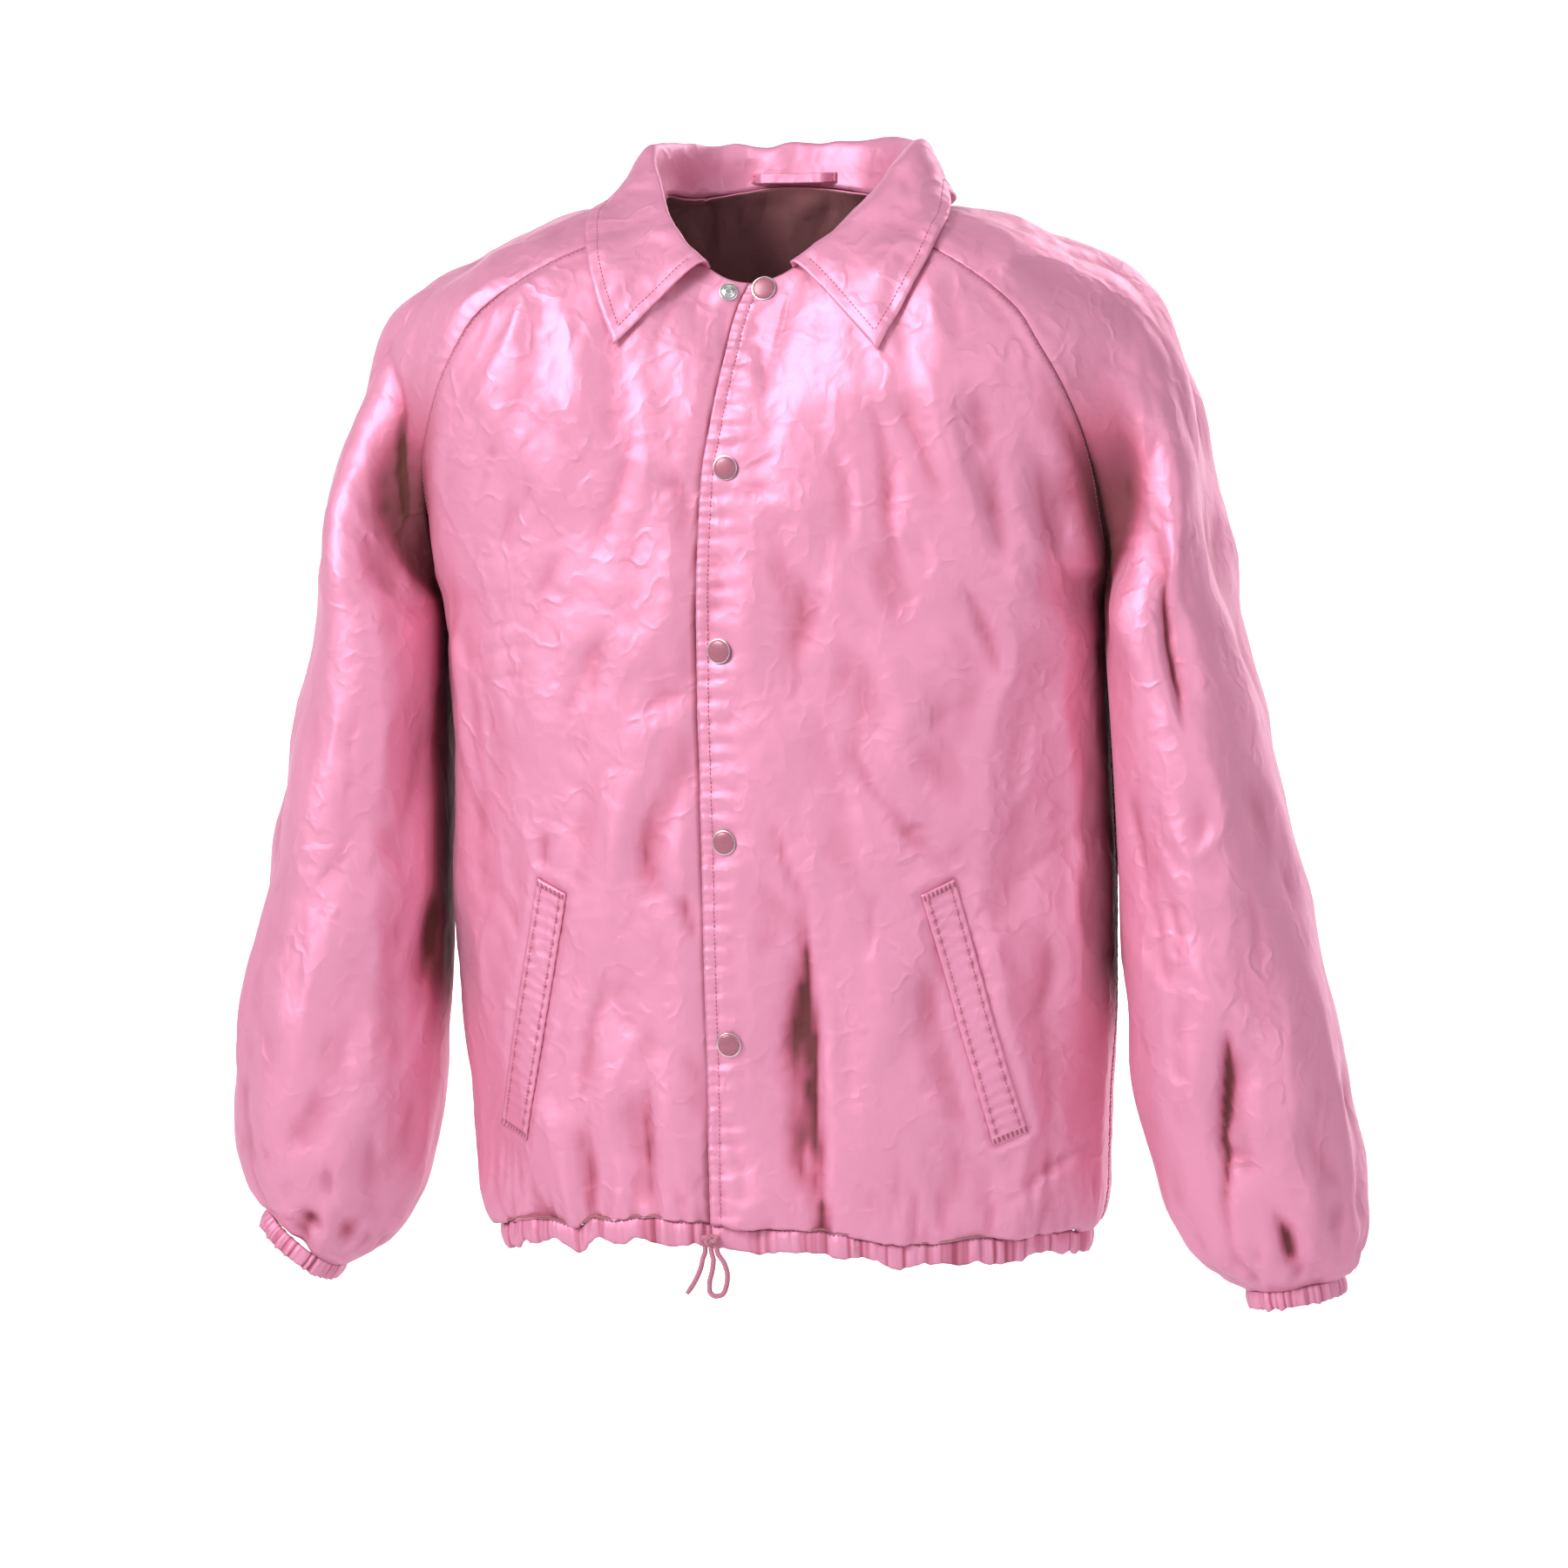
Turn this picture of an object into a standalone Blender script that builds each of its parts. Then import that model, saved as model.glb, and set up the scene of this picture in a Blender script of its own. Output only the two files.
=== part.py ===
"""Coach jacket: raglan sleeves, snap front, pointed collar, drawcord hem and gathered cuffs.

The cloth is built as thin walls, filled out as if worn, with the neck, hem and cuffs open.
Frame: +Z up, the wearer's left is +X and the front faces -Y. The origin is the middle of the neck at the
height of the shoulder neck points, where the wearer's shoulders carry the jacket.
Tables and sizes are in millimetres. Meshes are in metres.
"""
import math

import bpy
import numpy as np
from mathutils import Vector
from mathutils.bvhtree import BVHTree

MM = 0.001

# Cloth and seams
CLOTH = 1.2             # wall of the shell cloth with its folds and seam allowances
COLLAR_CLOTH = 1.6      # collar, two layers and a stiffener
CASING_CLOTH = 2.4      # turned hem with the cord inside
CUFF_CLOTH = 2.2        # turned cuff with the elastic inside
SEAM_GAP = 0.34         # air between two neighbouring pieces at a seam
LAP_DROP = 5.6          # how far the right front lies under the left front
LAP_DROP_HEM = 8.6      # and at the hem, where the casing is thicker
LAP_RAMP = 26.0         # width over which it goes under

# The three borders of each front, as x against height
LAP_EDGE = (
    # z, x of the left front's edge
    (-30, 3.0), (-42, 1.0), (-60, -7.0), (-96, -14.5), (-140, -22.5), (-163, -27.0), (-205, -31.5),
    (-271, -34.8), (-324, -35.8), (-431, -36.4), (-500, -37.7), (-580, -38.6), (-655, -40.0), (-720, -40.6),
)
HIDDEN_EDGE = 32.0      # the right front's own edge lies this far past the left front's edge
HIDDEN_EDGE_TOP = 7.0   # and this far at the neck, where the snap is open

# Middle of the garment at each level
MIDDLE = (
    # level, x
    (1.0, 0.0), (0.87, -1.0), (0.74, -3.0), (0.5, -5.0), (0.0, -5.0), (-1.2, -5.0),
)

# Level 1 is the neckline, 0 the underarm and -1 the hem. Each row of a front or back goes from the middle
# to the raglan seam above the underarm and to the side seam below it.
FRONT = (
    # level, middle y, z, seam x, y, z, turn at the seam, rise, reach at the middle, reach at the seam
    (1.00, -86.0, -46.0, 62.0, -50.0, -4.0, 68, 0.55, 26, 24),
    (0.87, -101.0, -77.0, 132.0, -84.0, -26.0, 42, 0.35, 46, 42),
    (0.74, -114.0, -106.0, 183.0, -93.0, -60.0, 38, 0.28, 64, 56),
    (0.62, -123.0, -132.0, 203.0, -92.0, -88.0, 42, 0.15, 74, 62),
    (0.50, -128.0, -158.0, 219.0, -84.0, -119.0, 48, 0.10, 84, 60),
    (0.35, -130.0, -190.0, 232.0, -72.0, -160.0, 56, 0.05, 102, 58),
    (0.20, -130.0, -222.0, 236.0, -50.0, -207.0, 70, 0.0, 122, 62),
    (0.08, -130.0, -250.0, 235.0, -24.0, -245.0, 83, 0.0, 138, 78),
    (0.00, -130.0, -268.0, 232.0, 0.0, -268.0, 90, 0.0, 146, 96),
    (-0.16, -130.0, -335.0, 231.0, 0.0, -337.0, 90, 0.0, 145, 92),
    (-0.306, -129.0, -397.0, 232.0, 0.0, -400.0, 90, 0.0, 143, 84),
    (-0.444, -128.0, -455.0, 233.5, 0.0, -460.0, 90, 0.0, 140, 74),
    (-0.56, -125.0, -503.0, 232.5, 0.0, -510.0, 90, 0.0, 140, 73),
    (-0.671, -122.5, -549.0, 231.0, 0.0, -558.0, 90, 0.0, 139, 71),
    (-0.787, -120.0, -597.0, 226.0, 0.0, -608.0, 90, 0.0, 136, 70),
    (-0.90, -118.0, -645.0, 223.5, 0.0, -657.0, 90, 0.0, 134, 68),
    (-0.96, -117.0, -670.0, 222.0, 0.0, -683.0, 90, 0.0, 133, 68),
    (-1.00, -115.5, -687.0, 218.5, 0.0, -700.0, 90, 0.0, 131, 67),
    (-1.03, -113.8, -693.0, 214.5, 0.0, -706.5, 90, 0.0, 128, 65),
    (-1.06, -112.0, -691.5, 210.0, 0.0, -705.0, 90, 0.0, 125, 63),
)
BACK = (
    # level, middle y, z, seam x, y, z, turn at the seam, rise, reach at the middle, reach at the seam
    (1.00, 70.0, 12.0, 60.0, 52.0, 6.0, 50, -0.05, 22, 20),
    (0.87, 95.0, -30.0, 120.0, 92.0, -20.0, 20, 0.12, 42, 40),
    (0.74, 112.0, -70.0, 176.0, 105.0, -52.0, 25, 0.12, 62, 56),
    (0.62, 121.0, -104.0, 201.0, 104.0, -81.0, 32, 0.10, 72, 60),
    (0.50, 126.0, -136.0, 219.0, 92.0, -114.0, 44, 0.08, 84, 62),
    (0.35, 127.0, -176.0, 232.0, 77.0, -158.0, 57, 0.04, 102, 58),
    (0.20, 125.0, -216.0, 236.0, 52.0, -206.0, 72, 0.0, 122, 60),
    (0.08, 123.0, -248.0, 235.0, 25.0, -245.0, 83, 0.0, 138, 76),
    (0.00, 122.0, -268.0, 232.0, 0.0, -268.0, 90, 0.0, 146, 90),
    (-0.16, 119.0, -336.0, 231.0, 0.0, -337.0, 90, 0.0, 145, 85),
    (-0.306, 115.0, -400.0, 232.0, 0.0, -400.0, 90, 0.0, 143, 75),
    (-0.444, 112.0, -460.0, 233.5, 0.0, -460.0, 90, 0.0, 140, 65),
    (-0.56, 112.0, -510.0, 232.5, 0.0, -510.0, 90, 0.0, 140, 65),
    (-0.671, 114.0, -558.0, 231.0, 0.0, -558.0, 90, 0.0, 139, 66),
    (-0.787, 117.0, -608.0, 226.0, 0.0, -608.0, 90, 0.0, 136, 68),
    (-0.90, 119.0, -656.0, 223.5, 0.0, -657.0, 90, 0.0, 134, 69),
    (-0.96, 119.0, -682.0, 222.0, 0.0, -683.0, 90, 0.0, 133, 69),
    (-1.00, 117.5, -699.0, 218.5, 0.0, -700.0, 90, 0.0, 131, 68),
    (-1.03, 115.0, -705.5, 214.5, 0.0, -706.5, 90, 0.0, 128, 66),
    (-1.06, 112.0, -704.0, 210.0, 0.0, -705.0, 90, 0.0, 125, 64),
)
HEM_DIP = (
    # x, how far the hem rises above its even line
    (-260, 0.0), (-205, 0.0), (-137, 2.0), (-88, 7.0), (-38, 3.0), (20, 0.0), (75, -7.0), (108, -9.0),
    (160, -2.5), (205, 0.0), (260, 0.0),
)
HEM_DIP_FROM = -0.78    # level at which the dip starts

# Sleeve cap: from the front raglan seam over the crest to the back seam
CAP = (
    # level, crest x, z, turn at the front seam, at the back seam, reach at the seam, front of crest, back
    (1.00, 74.0, 10.0, 68, 50, 17, 18, 20),
    (0.87, 160.0, -10.0, 42, 20, 30, 44, 54),
    (0.74, 234.0, -41.0, 38, 25, 36, 50, 62),
    (0.62, 268.0, -70.0, 42, 32, 38, 52, 64),
    (0.50, 284.0, -106.0, 44, 40, 36, 64, 74),
    (0.35, 294.0, -150.0, 26, 26, 42, 90, 96),
    (0.20, 303.0, -200.0, -20, -20, 64, 108, 110),
    (0.08, 312.0, -242.0, -62, -62, 92, 118, 118),
    (0.00, 318.0, -268.0, -90, -90, 118, 118, 118),
)
# Sleeve below the underarm: closed rings from the inner point, round the front, to the outer point and back
ARM = (
    # level, inner x, z, outer x, z, middle y, depth each way
    (0.00, 232.0, -268.0, 318.0, -268.0, 0.0, 88.5),
    (-0.16, 235.5, -336.0, 335.0, -336.0, -5.0, 90.0),
    (-0.306, 238.0, -400.0, 350.0, -399.0, -9.0, 89.0),
    (-0.444, 239.5, -458.0, 363.0, -457.0, -12.0, 86.0),
    (-0.56, 240.0, -508.0, 373.0, -506.0, -15.0, 83.0),
    (-0.671, 242.5, -557.0, 385.0, -554.0, -18.0, 80.0),
    (-0.787, 246.0, -606.0, 394.0, -602.0, -20.0, 77.0),
)
WRIST = {
    # level, inner x, z, outer x, z, middle y, depth each way, down to the seam of the cuff
    1: (
        (-0.90, 259.0, -656.0, 404.0, -648.0, -21.0, 70.0),
        (-0.98, 270.0, -696.0, 406.0, -686.0, -21.0, 61.0),
        (-1.04, 290.0, -728.0, 401.0, -716.0, -21.0, 49.0),
        (-1.08, 321.0, -746.0, 388.0, -736.0, -21.0, 33.5),
    ),
    -1: (
        (-0.90, 256.0, -658.0, 396.0, -644.0, -21.0, 69.0),
        (-0.98, 268.0, -692.0, 392.0, -668.0, -21.0, 59.0),
        (-1.04, 291.0, -722.0, 385.0, -684.0, -21.0, 47.0),
        (-1.08, 321.0, -738.0, 373.0, -695.0, -21.0, 33.5),
    ),
}
CUFF_DEPTH = 13.0
CASING_DEPTH = 17.5

# Largest folds: where they start and end seen from the front, how wide, how deep (minus is a trough)
FOLDS = {
    "front": (
        # x, z at the start, x, z at the end, half width, depth
        (22, -520, 26, -665, 13, -8.0),
        (-95, -600, -92, -688, 14, -6.0),
        (-128, -535, -132, -640, 24, 4.5),
        (-62, -545, -74, -650, 15, 4.0),
        (128, -95, 158, -240, 17, 6.5),
        (92, -185, 130, -300, 16, 4.5),
        (146, -120, 176, -230, 11, -4.0),
        (208, -170, 222, -270, 12, -4.0),
        (-176, -115, -130, -200, 16, 4.0),
        (-70, -330, -105, -450, 14, 3.5),
        (-40, -350, -72, -450, 13, -3.0),
        (60, -330, 95, -460, 16, 3.5),
        (150, -520, 190, -640, 18, 3.0),
        (-188, -470, -196, -640, 14, -3.0),
    ),
    "back": (
        (-150, -110, -70, -260, 20, 4.5),
        (150, -110, 70, -260, 20, 4.5),
        (-60, -420, -80, -640, 18, -4.5),
        (70, -400, 60, -640, 20, -4.5),
        (5, -300, -5, -560, 18, 3.5),
        (-150, -380, -165, -620, 16, -4.0),
        (155, -420, 160, -640, 16, -4.0),
    ),
    "sleeve_left": (
        (272, -95, 292, -250, 13, 5.0),
        (268, -215, 296, -330, 11, -5.5),
        (300, -180, 312, -280, 10, -4.5),
        (318, -560, 324, -660, 15, -7.0),
        (300, -500, 332, -570, 13, 4.0),
        (352, -690, 362, -742, 8, -5.0),
        (385, -680, 372, -735, 8, -4.0),
        (300, -350, 330, -480, 16, 4.0),
    ),
    "sleeve_right": (
        (-262, -160, -256, -300, 14, -5.5),
        (-286, -150, -298, -300, 13, 3.5),
        (-318, -400, -338, -600, 16, 3.5),
        (-262, -470, -268, -570, 12, -4.5),
        (-285, -560, -290, -640, 12, 4.0),
        (-385, -590, -380, -660, 10, -4.5),
        (-334, -690, -352, -720, 9, -5.5),
        (-300, -640, -322, -700, 11, 3.5),
    ),
}

# Snaps: height and distance from the left front's edge
SNAP_Z = (-50.6, -168.0, -292.0, -423.0, -563.0)
SNAP_INSET = 16.5
OPEN_STUD = (-14.7, -51.9)      # x and z of the stud that shows on the right front
CAP_RADIUS, CAP_HEIGHT = 8.4, 3.0
STUD_RADIUS, STUD_HEIGHT = 5.6, 2.2

# Pocket welts on the left front, mirrored for the right front
WELT = (
    # x, z of a corner: top inner, top outer, bottom outer, bottom inner
    (112.0, -461.0), (134.0, -451.0), (176.0, -630.0), (153.0, -638.0),
)
WELT_OUT = {1: 0.0, -1: 14.0}   # the right pocket shows nearer its side seam
WELT_CLOTH, WELT_CLEAR = 1.6, 1.5

# Collar stations: 0 middle back, 1 back seam, 2 shoulder, 3 front seam, 4 half way to the end, 5 the end
ROLL = {
    # station, x, y, z of the roll line
    1: ((0, 0, 80, 41), (1, 66, 66, 43), (2, 103, 0, 45.5), (3, 90, -45, 18), (4, 62, -73, -9), (5, 31, -92, -31)),
    -1: ((0, 0, 80, 41), (1, -60, 66, 42), (2, -84, 0, 45), (3, -71, -45, 14), (4, -50, -76, -14),
         (5, -31, -92, -30)),
}
LEAF = {
    # station, x, y, z of the leaf's outer edge
    1: ((0, 0, 100, -16), (1, 103, 90, -4), (2, 122, 0, 11), (3, 132, -50, -2), (4, 121, -98, -40),
        (5, 94, -121, -91)),
    -1: ((0, 0, 100, -16), (1, -98, 89, -5), (2, -114, 0, 9), (3, -117, -52, -6), (4, -108, -96, -40),
         (5, -89, -119, -84)),
}
COLLAR_END = 28.0       # each end of the collar is this far from the middle
LEAF_CLEAR = 2.6        # air under the leaf

# Hanging loop inside the back of the neck
LOOP_HALF, LOOP_TOP, LOOP_HEIGHT, LOOP_CLOTH, LOOP_STAND_OFF = 30.0, 22.0, 7.0, 1.2, 8.0

# Drawcord ends: the knot sits on the casing, and both routes are measured from its middle
CORD_DIAMETER = 3.6
KNOT_X, KNOT_Z, KNOT_SIZE = -41.0, -700.0, (14.0, 8.0, 9.0)
CORD_TAIL = (
    (-3.6, 0.0, -4.8), (-3.7, -0.3, -8.4), (-5.2, -1.6, -13.0), (-6.2, -2.4, -18.0), (-9.0, -3.0, -25.0),
    (-12.0, -3.2, -30.5), (-16.5, -3.4, -37.0),
)
CORD_LOOP = (
    (0.4, 0.0, -4.8), (0.7, -0.3, -8.4), (2.4, -2.2, -14.0), (1.6, -3.2, -21.0), (-0.4, -3.6, -29.0),
    (-0.6, -3.6, -35.0), (3.4, -3.6, -38.6), (8.2, -3.6, -37.4), (11.4, -3.6, -31.0), (12.2, -3.2, -24.0),
    (10.0, -2.2, -16.0), (4.9, -0.3, -8.4), (4.4, 0.0, -4.8),
)

SATIN = ("satin_nylon", (0.78, 0.36, 0.52), 0.38, 0.0)
CORD_COLOUR = ("knitted_cord", (0.62, 0.23, 0.36), 0.8, 0.0)
CAP_COLOUR = ("snap_enamel", (0.42, 0.15, 0.21), 0.3, 0.6)
STEEL = ("snap_steel", (0.75, 0.73, 0.72), 0.25, 1.0)

CAP_LEVELS = (1.0, 0.935, 0.87, 0.805, 0.74, 0.68, 0.62, 0.56, 0.5, 0.42, 0.35, 0.27, 0.2, 0.13, 0.06, 0.0)
BODY_LEVELS = (-0.1, -0.2, -0.306, -0.41, -0.5, -0.58, -0.66, -0.74, -0.82, -0.89, -0.95, -1.0, -1.03, -1.06)
ARM_LEVELS = (-0.1, -0.2, -0.3, -0.4, -0.5, -0.6, -0.7, -0.79, -0.87, -0.94, -1.0, -1.045, -1.08)
FRONT_COLUMNS, BACK_COLUMNS, SLEEVE_COLUMNS, COLLAR_STEP_COLUMNS = 12, 17, 18, 3
CASING_WAVES, CASING_WAVE_DEPTH = 84, 1.3
CALM_END = 36.0         # the casing lies flat this far from each front edge
CUFF_WAVES, CUFF_WAVE_DEPTH = 22, 1.1


def read(table, level):
    """Read every column of a table smoothly at the given levels, with no overshoot between its rows."""
    rows = np.array(sorted(table), dtype=float)
    x, y = rows[:, 0], rows[:, 1:]
    step = np.diff(x)
    slope = np.diff(y, axis=0) / step[:, None]
    tangent = np.empty_like(y)
    tangent[0], tangent[-1] = slope[0], slope[-1]
    weight = (step[:-1] + step[1:])[:, None]
    mixed = (slope[:-1] * step[1:, None] + slope[1:] * step[:-1, None]) / weight
    limit = 3 * np.minimum(np.abs(slope[:-1]), np.abs(slope[1:]))
    same_way = slope[:-1] * slope[1:] > 0
    tangent[1:-1] = np.where(same_way, np.clip(mixed, -limit, limit), 0.0)
    level = np.asarray(level, dtype=float)
    i = np.clip(np.searchsorted(x, level, side="right") - 1, 0, len(x) - 2)
    t = ((level - x[i]) / step[i])[..., None]
    t = np.clip(t, 0.0, 1.0)
    width = step[i][..., None]
    value = (1 + 2 * t) * (1 - t) ** 2 * y[i] + t * (1 - t) ** 2 * width * tangent[i]
    value += t * t * (3 - 2 * t) * y[i + 1] + t * t * (t - 1) * width * tangent[i + 1]
    return np.moveaxis(value, -1, 0)


def points(x, y, z):
    """Stack coordinates that may be plain numbers into an array of points."""
    return np.stack(np.broadcast_arrays(x, y, z), axis=-1).astype(float)


def bezier(p0, p1, p2, p3, t):
    t = np.asarray(t, dtype=float)[..., None]
    return (1 - t) ** 3 * p0 + 3 * t * (1 - t) ** 2 * p1 + 3 * t * t * (1 - t) * p2 + t ** 3 * p3


def ease(t):
    """Go smoothly from 0 to 1."""
    t = np.clip(t, 0.0, 1.0)
    return t * t * (3 - 2 * t)


def unit(v):
    return v / np.maximum(np.linalg.norm(v, axis=-1, keepdims=True), 1e-9)


def middle(level):
    return read(MIDDLE, level)[0]


def torso(table, face, level, s):
    """Point on the front (face -1) or back (face 1), s from -1 at the right seam to 1 at the left one."""
    my, mz, sx, sy, sz, turn, rise, reach, seam_reach = read(table, level)
    side = np.where(s < 0, -1.0, 1.0)
    mid = middle(level)
    angle = np.radians(turn)
    start = points(mid, my, mz)
    end = points(mid + side * sx, sy, sz)
    outward = points(side * np.cos(angle), -face * np.sin(angle), rise)
    p = bezier(start, start + points(side * reach, 0, 0), end - seam_reach[..., None] * outward, end, np.abs(s))
    dip = read(HEM_DIP, p[..., 0])[0] * ease((HEM_DIP_FROM - level) / (HEM_DIP_FROM + 1.0))
    p[..., 2] += dip
    return p


def front(level, s):
    return torso(FRONT, -1, level, s)


def back(level, s):
    return torso(BACK, 1, level, s)


def arm_table(side):
    return ARM + WRIST[side]


def sleeve(side, level, s):
    """Point on a sleeve, s from 0 at the front seam over the crest at 0.5 to 1 at the back seam.

    Below the underarm both seams are the one seam on the inner side.
    """
    level, s = np.broadcast_arrays(np.asarray(level, float), np.asarray(s, float))
    cap = level > 0
    up, down = np.where(cap, level, 0.0), np.where(cap, 0.0, level)
    mid = middle(level)
    s = np.where(cap, np.clip(s, 0, 1), s % 1.0)
    half = s < 0.5
    face = np.where(half, -1.0, 1.0)
    fx, fy, fz, frise = (read(FRONT, up)[k] for k in (2, 3, 4, 6))
    bx, by, bz, brise = (read(BACK, up)[k] for k in (2, 3, 4, 6))
    cx, cz, fturn, bturn, seam_reach, front_reach, back_reach = read(CAP, up)
    ix, iz, ox, oz, ay, depth = read(arm_table(side), down)
    seam = points(np.where(half, fx, bx), np.where(half, fy, by), np.where(half, fz, bz))
    seam = np.where(cap[..., None], seam, points(ix, ay, iz))
    crest = np.where(cap[..., None], points(cx, 0.0, cz), points(ox, ay, oz))
    turn = np.radians(np.where(half, fturn, bturn))
    rise = np.where(half, frise, brise) * cap
    reach = np.where(cap, seam_reach, depth * 4 / 3)
    crest_reach = np.where(cap, np.where(half, front_reach, back_reach), depth * 4 / 3)
    leave = points(np.where(cap, np.cos(turn), 0.0), np.where(cap, -face * np.sin(turn), face), rise)
    over = points(0.0, face * crest_reach, 0.0)
    p = bezier(seam, seam + reach[..., None] * leave, crest + over, crest, np.where(half, 2 * s, 2 - 2 * s))
    p[..., 0] = mid + side * p[..., 0]
    return p


def relief(name, face, p, mask):
    """Height of the largest folds at the given points, for the side of the garment that faces that way."""
    height = np.zeros(p.shape[:-1])
    for x0, z0, x1, z1, width, depth in FOLDS[name]:
        along = np.array([x1 - x0, z1 - z0], dtype=float)
        length = np.hypot(*along)
        offset = p[..., (0, 2)] - np.array([x0, z0])
        t = offset @ along / length ** 2
        across = np.abs(offset[..., 0] * along[1] - offset[..., 1] * along[0]) / length
        end = ease((t + 0.2) / 0.5) * ease((1.2 - t) / 0.5)
        height += depth * end * np.exp(-(across / width) ** 2)
    return height * mask * ease(0.5 + face * p[..., 1] / 60.0)


def normals(surface, level, s, level_range, s_range, sign):
    """Outward normals of a surface by small steps, kept inside its borders."""
    step = 0.004
    l0, l1 = np.maximum(level - step, level_range[0]), np.minimum(level + step, level_range[1])
    s0, s1 = np.maximum(s - step, s_range[0]), np.minimum(s + step, s_range[1])
    across = surface(level, s1) - surface(level, s0)
    along = surface(l1, s) - surface(l0, s)
    return unit(sign * np.cross(across, along))


def front_normals(level, s):
    return normals(front, level, s, (-1.06, 1.0), (-1.0, 1.0), 1)


def back_normals(level, s):
    return normals(back, level, s, (-1.06, 1.0), (-1.0, 1.0), -1)


def sleeve_normals(side, level, s):
    return normals(lambda a, b: sleeve(side, a, b), level, s, (-1.08, 1.0), (-9.0, 9.0), side)


def front_at(level, x):
    """The s of the front at which each level crosses the given x."""
    low, high = np.full(np.shape(level), -0.9), np.full(np.shape(level), 0.9)
    for _ in range(36):
        half = (low + high) / 2
        under = front(level, half)[..., 0] < x
        low, high = np.where(under, half, low), np.where(under, high, half)
    return (low + high) / 2


def lap_x(z):
    return read(LAP_EDGE, z)[0]


def lap_s(level, inset):
    """The s of a line that stays a given distance from the left front's edge, to the left of it."""
    s = np.zeros(np.shape(level))
    for _ in range(4):
        s = front_at(level, lap_x(front(level, s)[..., 2]) + inset)
    return s


def shared(own, other):
    """Normal on a seam: shared where the pieces run on, its own where they meet in a deep valley."""
    agree = np.sum(own * other, axis=-1, keepdims=True)
    mixed = unit(own + ease((agree - 0.1) / 0.5) * other)
    return mixed


def material(spec):
    name, colour, roughness, metallic = spec
    made = bpy.data.materials.get(name)
    if made is None:
        made = bpy.data.materials.new(name)
        made.use_nodes = True
        shader = made.node_tree.nodes["Principled BSDF"]
        shader.inputs["Base Color"].default_value = (*colour, 1.0)
        shader.inputs["Roughness"].default_value = roughness
        shader.inputs["Metallic"].default_value = metallic
    return made


def in_triangles(verts, faces):
    """Split each four-sided face along its shorter diagonal, so that every tool sees the same surface."""
    split = []
    for face in faces:
        if len(face) == 3:
            split.append(face)
            continue
        a, b, c, d = face
        if np.linalg.norm(verts[a] - verts[c]) <= np.linalg.norm(verts[b] - verts[d]):
            split += [(a, b, c), (a, c, d)]
        else:
            split += [(b, c, d), (b, d, a)]
    return split


def add_object(name, verts, faces, finish, smooth=True):
    verts = np.asarray(verts)
    mesh = bpy.data.meshes.new(name)
    mesh.from_pydata([tuple(v) for v in verts * MM], [], in_triangles(verts, faces))
    mesh.materials.append(material(finish))
    if smooth:
        mesh.shade_smooth()
    body = bpy.data.objects.new(name, mesh)
    bpy.context.scene.collection.objects.link(body)
    return body


def grid_faces(rows, columns, index):
    """Quads between neighbouring rows and columns, with vertex numbers from index(row, column)."""
    return [(index(r, c), index(r, c + 1), index(r + 1, c + 1), index(r + 1, c))
            for r in range(rows - 1) for c in range(columns - 1)]


def wall(name, outer, inner, faces, finish):
    """Closed wall from matching outer and inner points: the faces, their lining and the rim."""
    count = len(outer)
    turned_out = 0.0
    for a, b, c, d in faces:
        turned_out += np.cross(outer[c] - outer[a], outer[d] - outer[b]) @ (outer[a] - inner[a])
    if turned_out < 0:
        faces = [face[::-1] for face in faces]
    borders = {}
    for face in faces:
        for a, b in zip(face, face[1:] + face[:1]):
            if (b, a) in borders:
                del borders[(b, a)]
            else:
                borders[(a, b)] = True
    lining = [tuple(count + v for v in face[::-1]) for face in faces]
    rim = [(b, a, count + a, count + b) for a, b in borders]
    return add_object(name, np.vstack([outer, inner]), faces + lining + rim, finish)


def part_at_seam(grid, normal, column, neighbour_in, gap):
    """Move a border column of a grid into its own piece by half the seam's gap."""
    edge = grid[:, column]
    along = unit(np.gradient(edge, axis=0))
    inward = grid[:, neighbour_in] - edge
    inward -= np.sum(inward * along, axis=-1, keepdims=True) * along
    inward -= np.sum(inward * normal[:, column], axis=-1, keepdims=True) * normal[:, column]
    return unit(inward) * gap / 2


def panel(name, grid, normal, seams=(), cloth=CLOTH):
    """Wall over a grid of points, parted from its neighbours at the seam columns."""
    shift = np.zeros_like(grid)
    for column, neighbour_in in seams:
        shift[:, column] += part_at_seam(grid, normal, column, neighbour_in, SEAM_GAP)
    outer = grid + shift
    inner = outer - normal * cloth
    rows, columns = grid.shape[:2]
    faces = grid_faces(rows, columns, lambda r, c: r * columns + c)
    return wall(name, outer.reshape(-1, 3), inner.reshape(-1, 3), faces, SATIN), grid


def torso_levels():
    return np.array(CAP_LEVELS + BODY_LEVELS)


def seam_normals(level, side, face):
    """Normals of the torso and of its neighbour along the raglan seam and the side seam."""
    own_of = front_normals if face < 0 else back_normals
    other_of = back_normals if face < 0 else front_normals
    own = own_of(level, np.full(level.shape, float(side)))
    below = other_of(level, np.full(level.shape, float(side)))
    edge = 0.0 if face < 0 else 1.0
    beside = sleeve_normals(side, np.maximum(level, 0.001), np.full(level.shape, edge))
    other = np.where((level > 0)[:, None], beside, below)
    return shared(own, other)


def seam_mask(s):
    return ease((1 - np.abs(s)) / 0.12)


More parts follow.
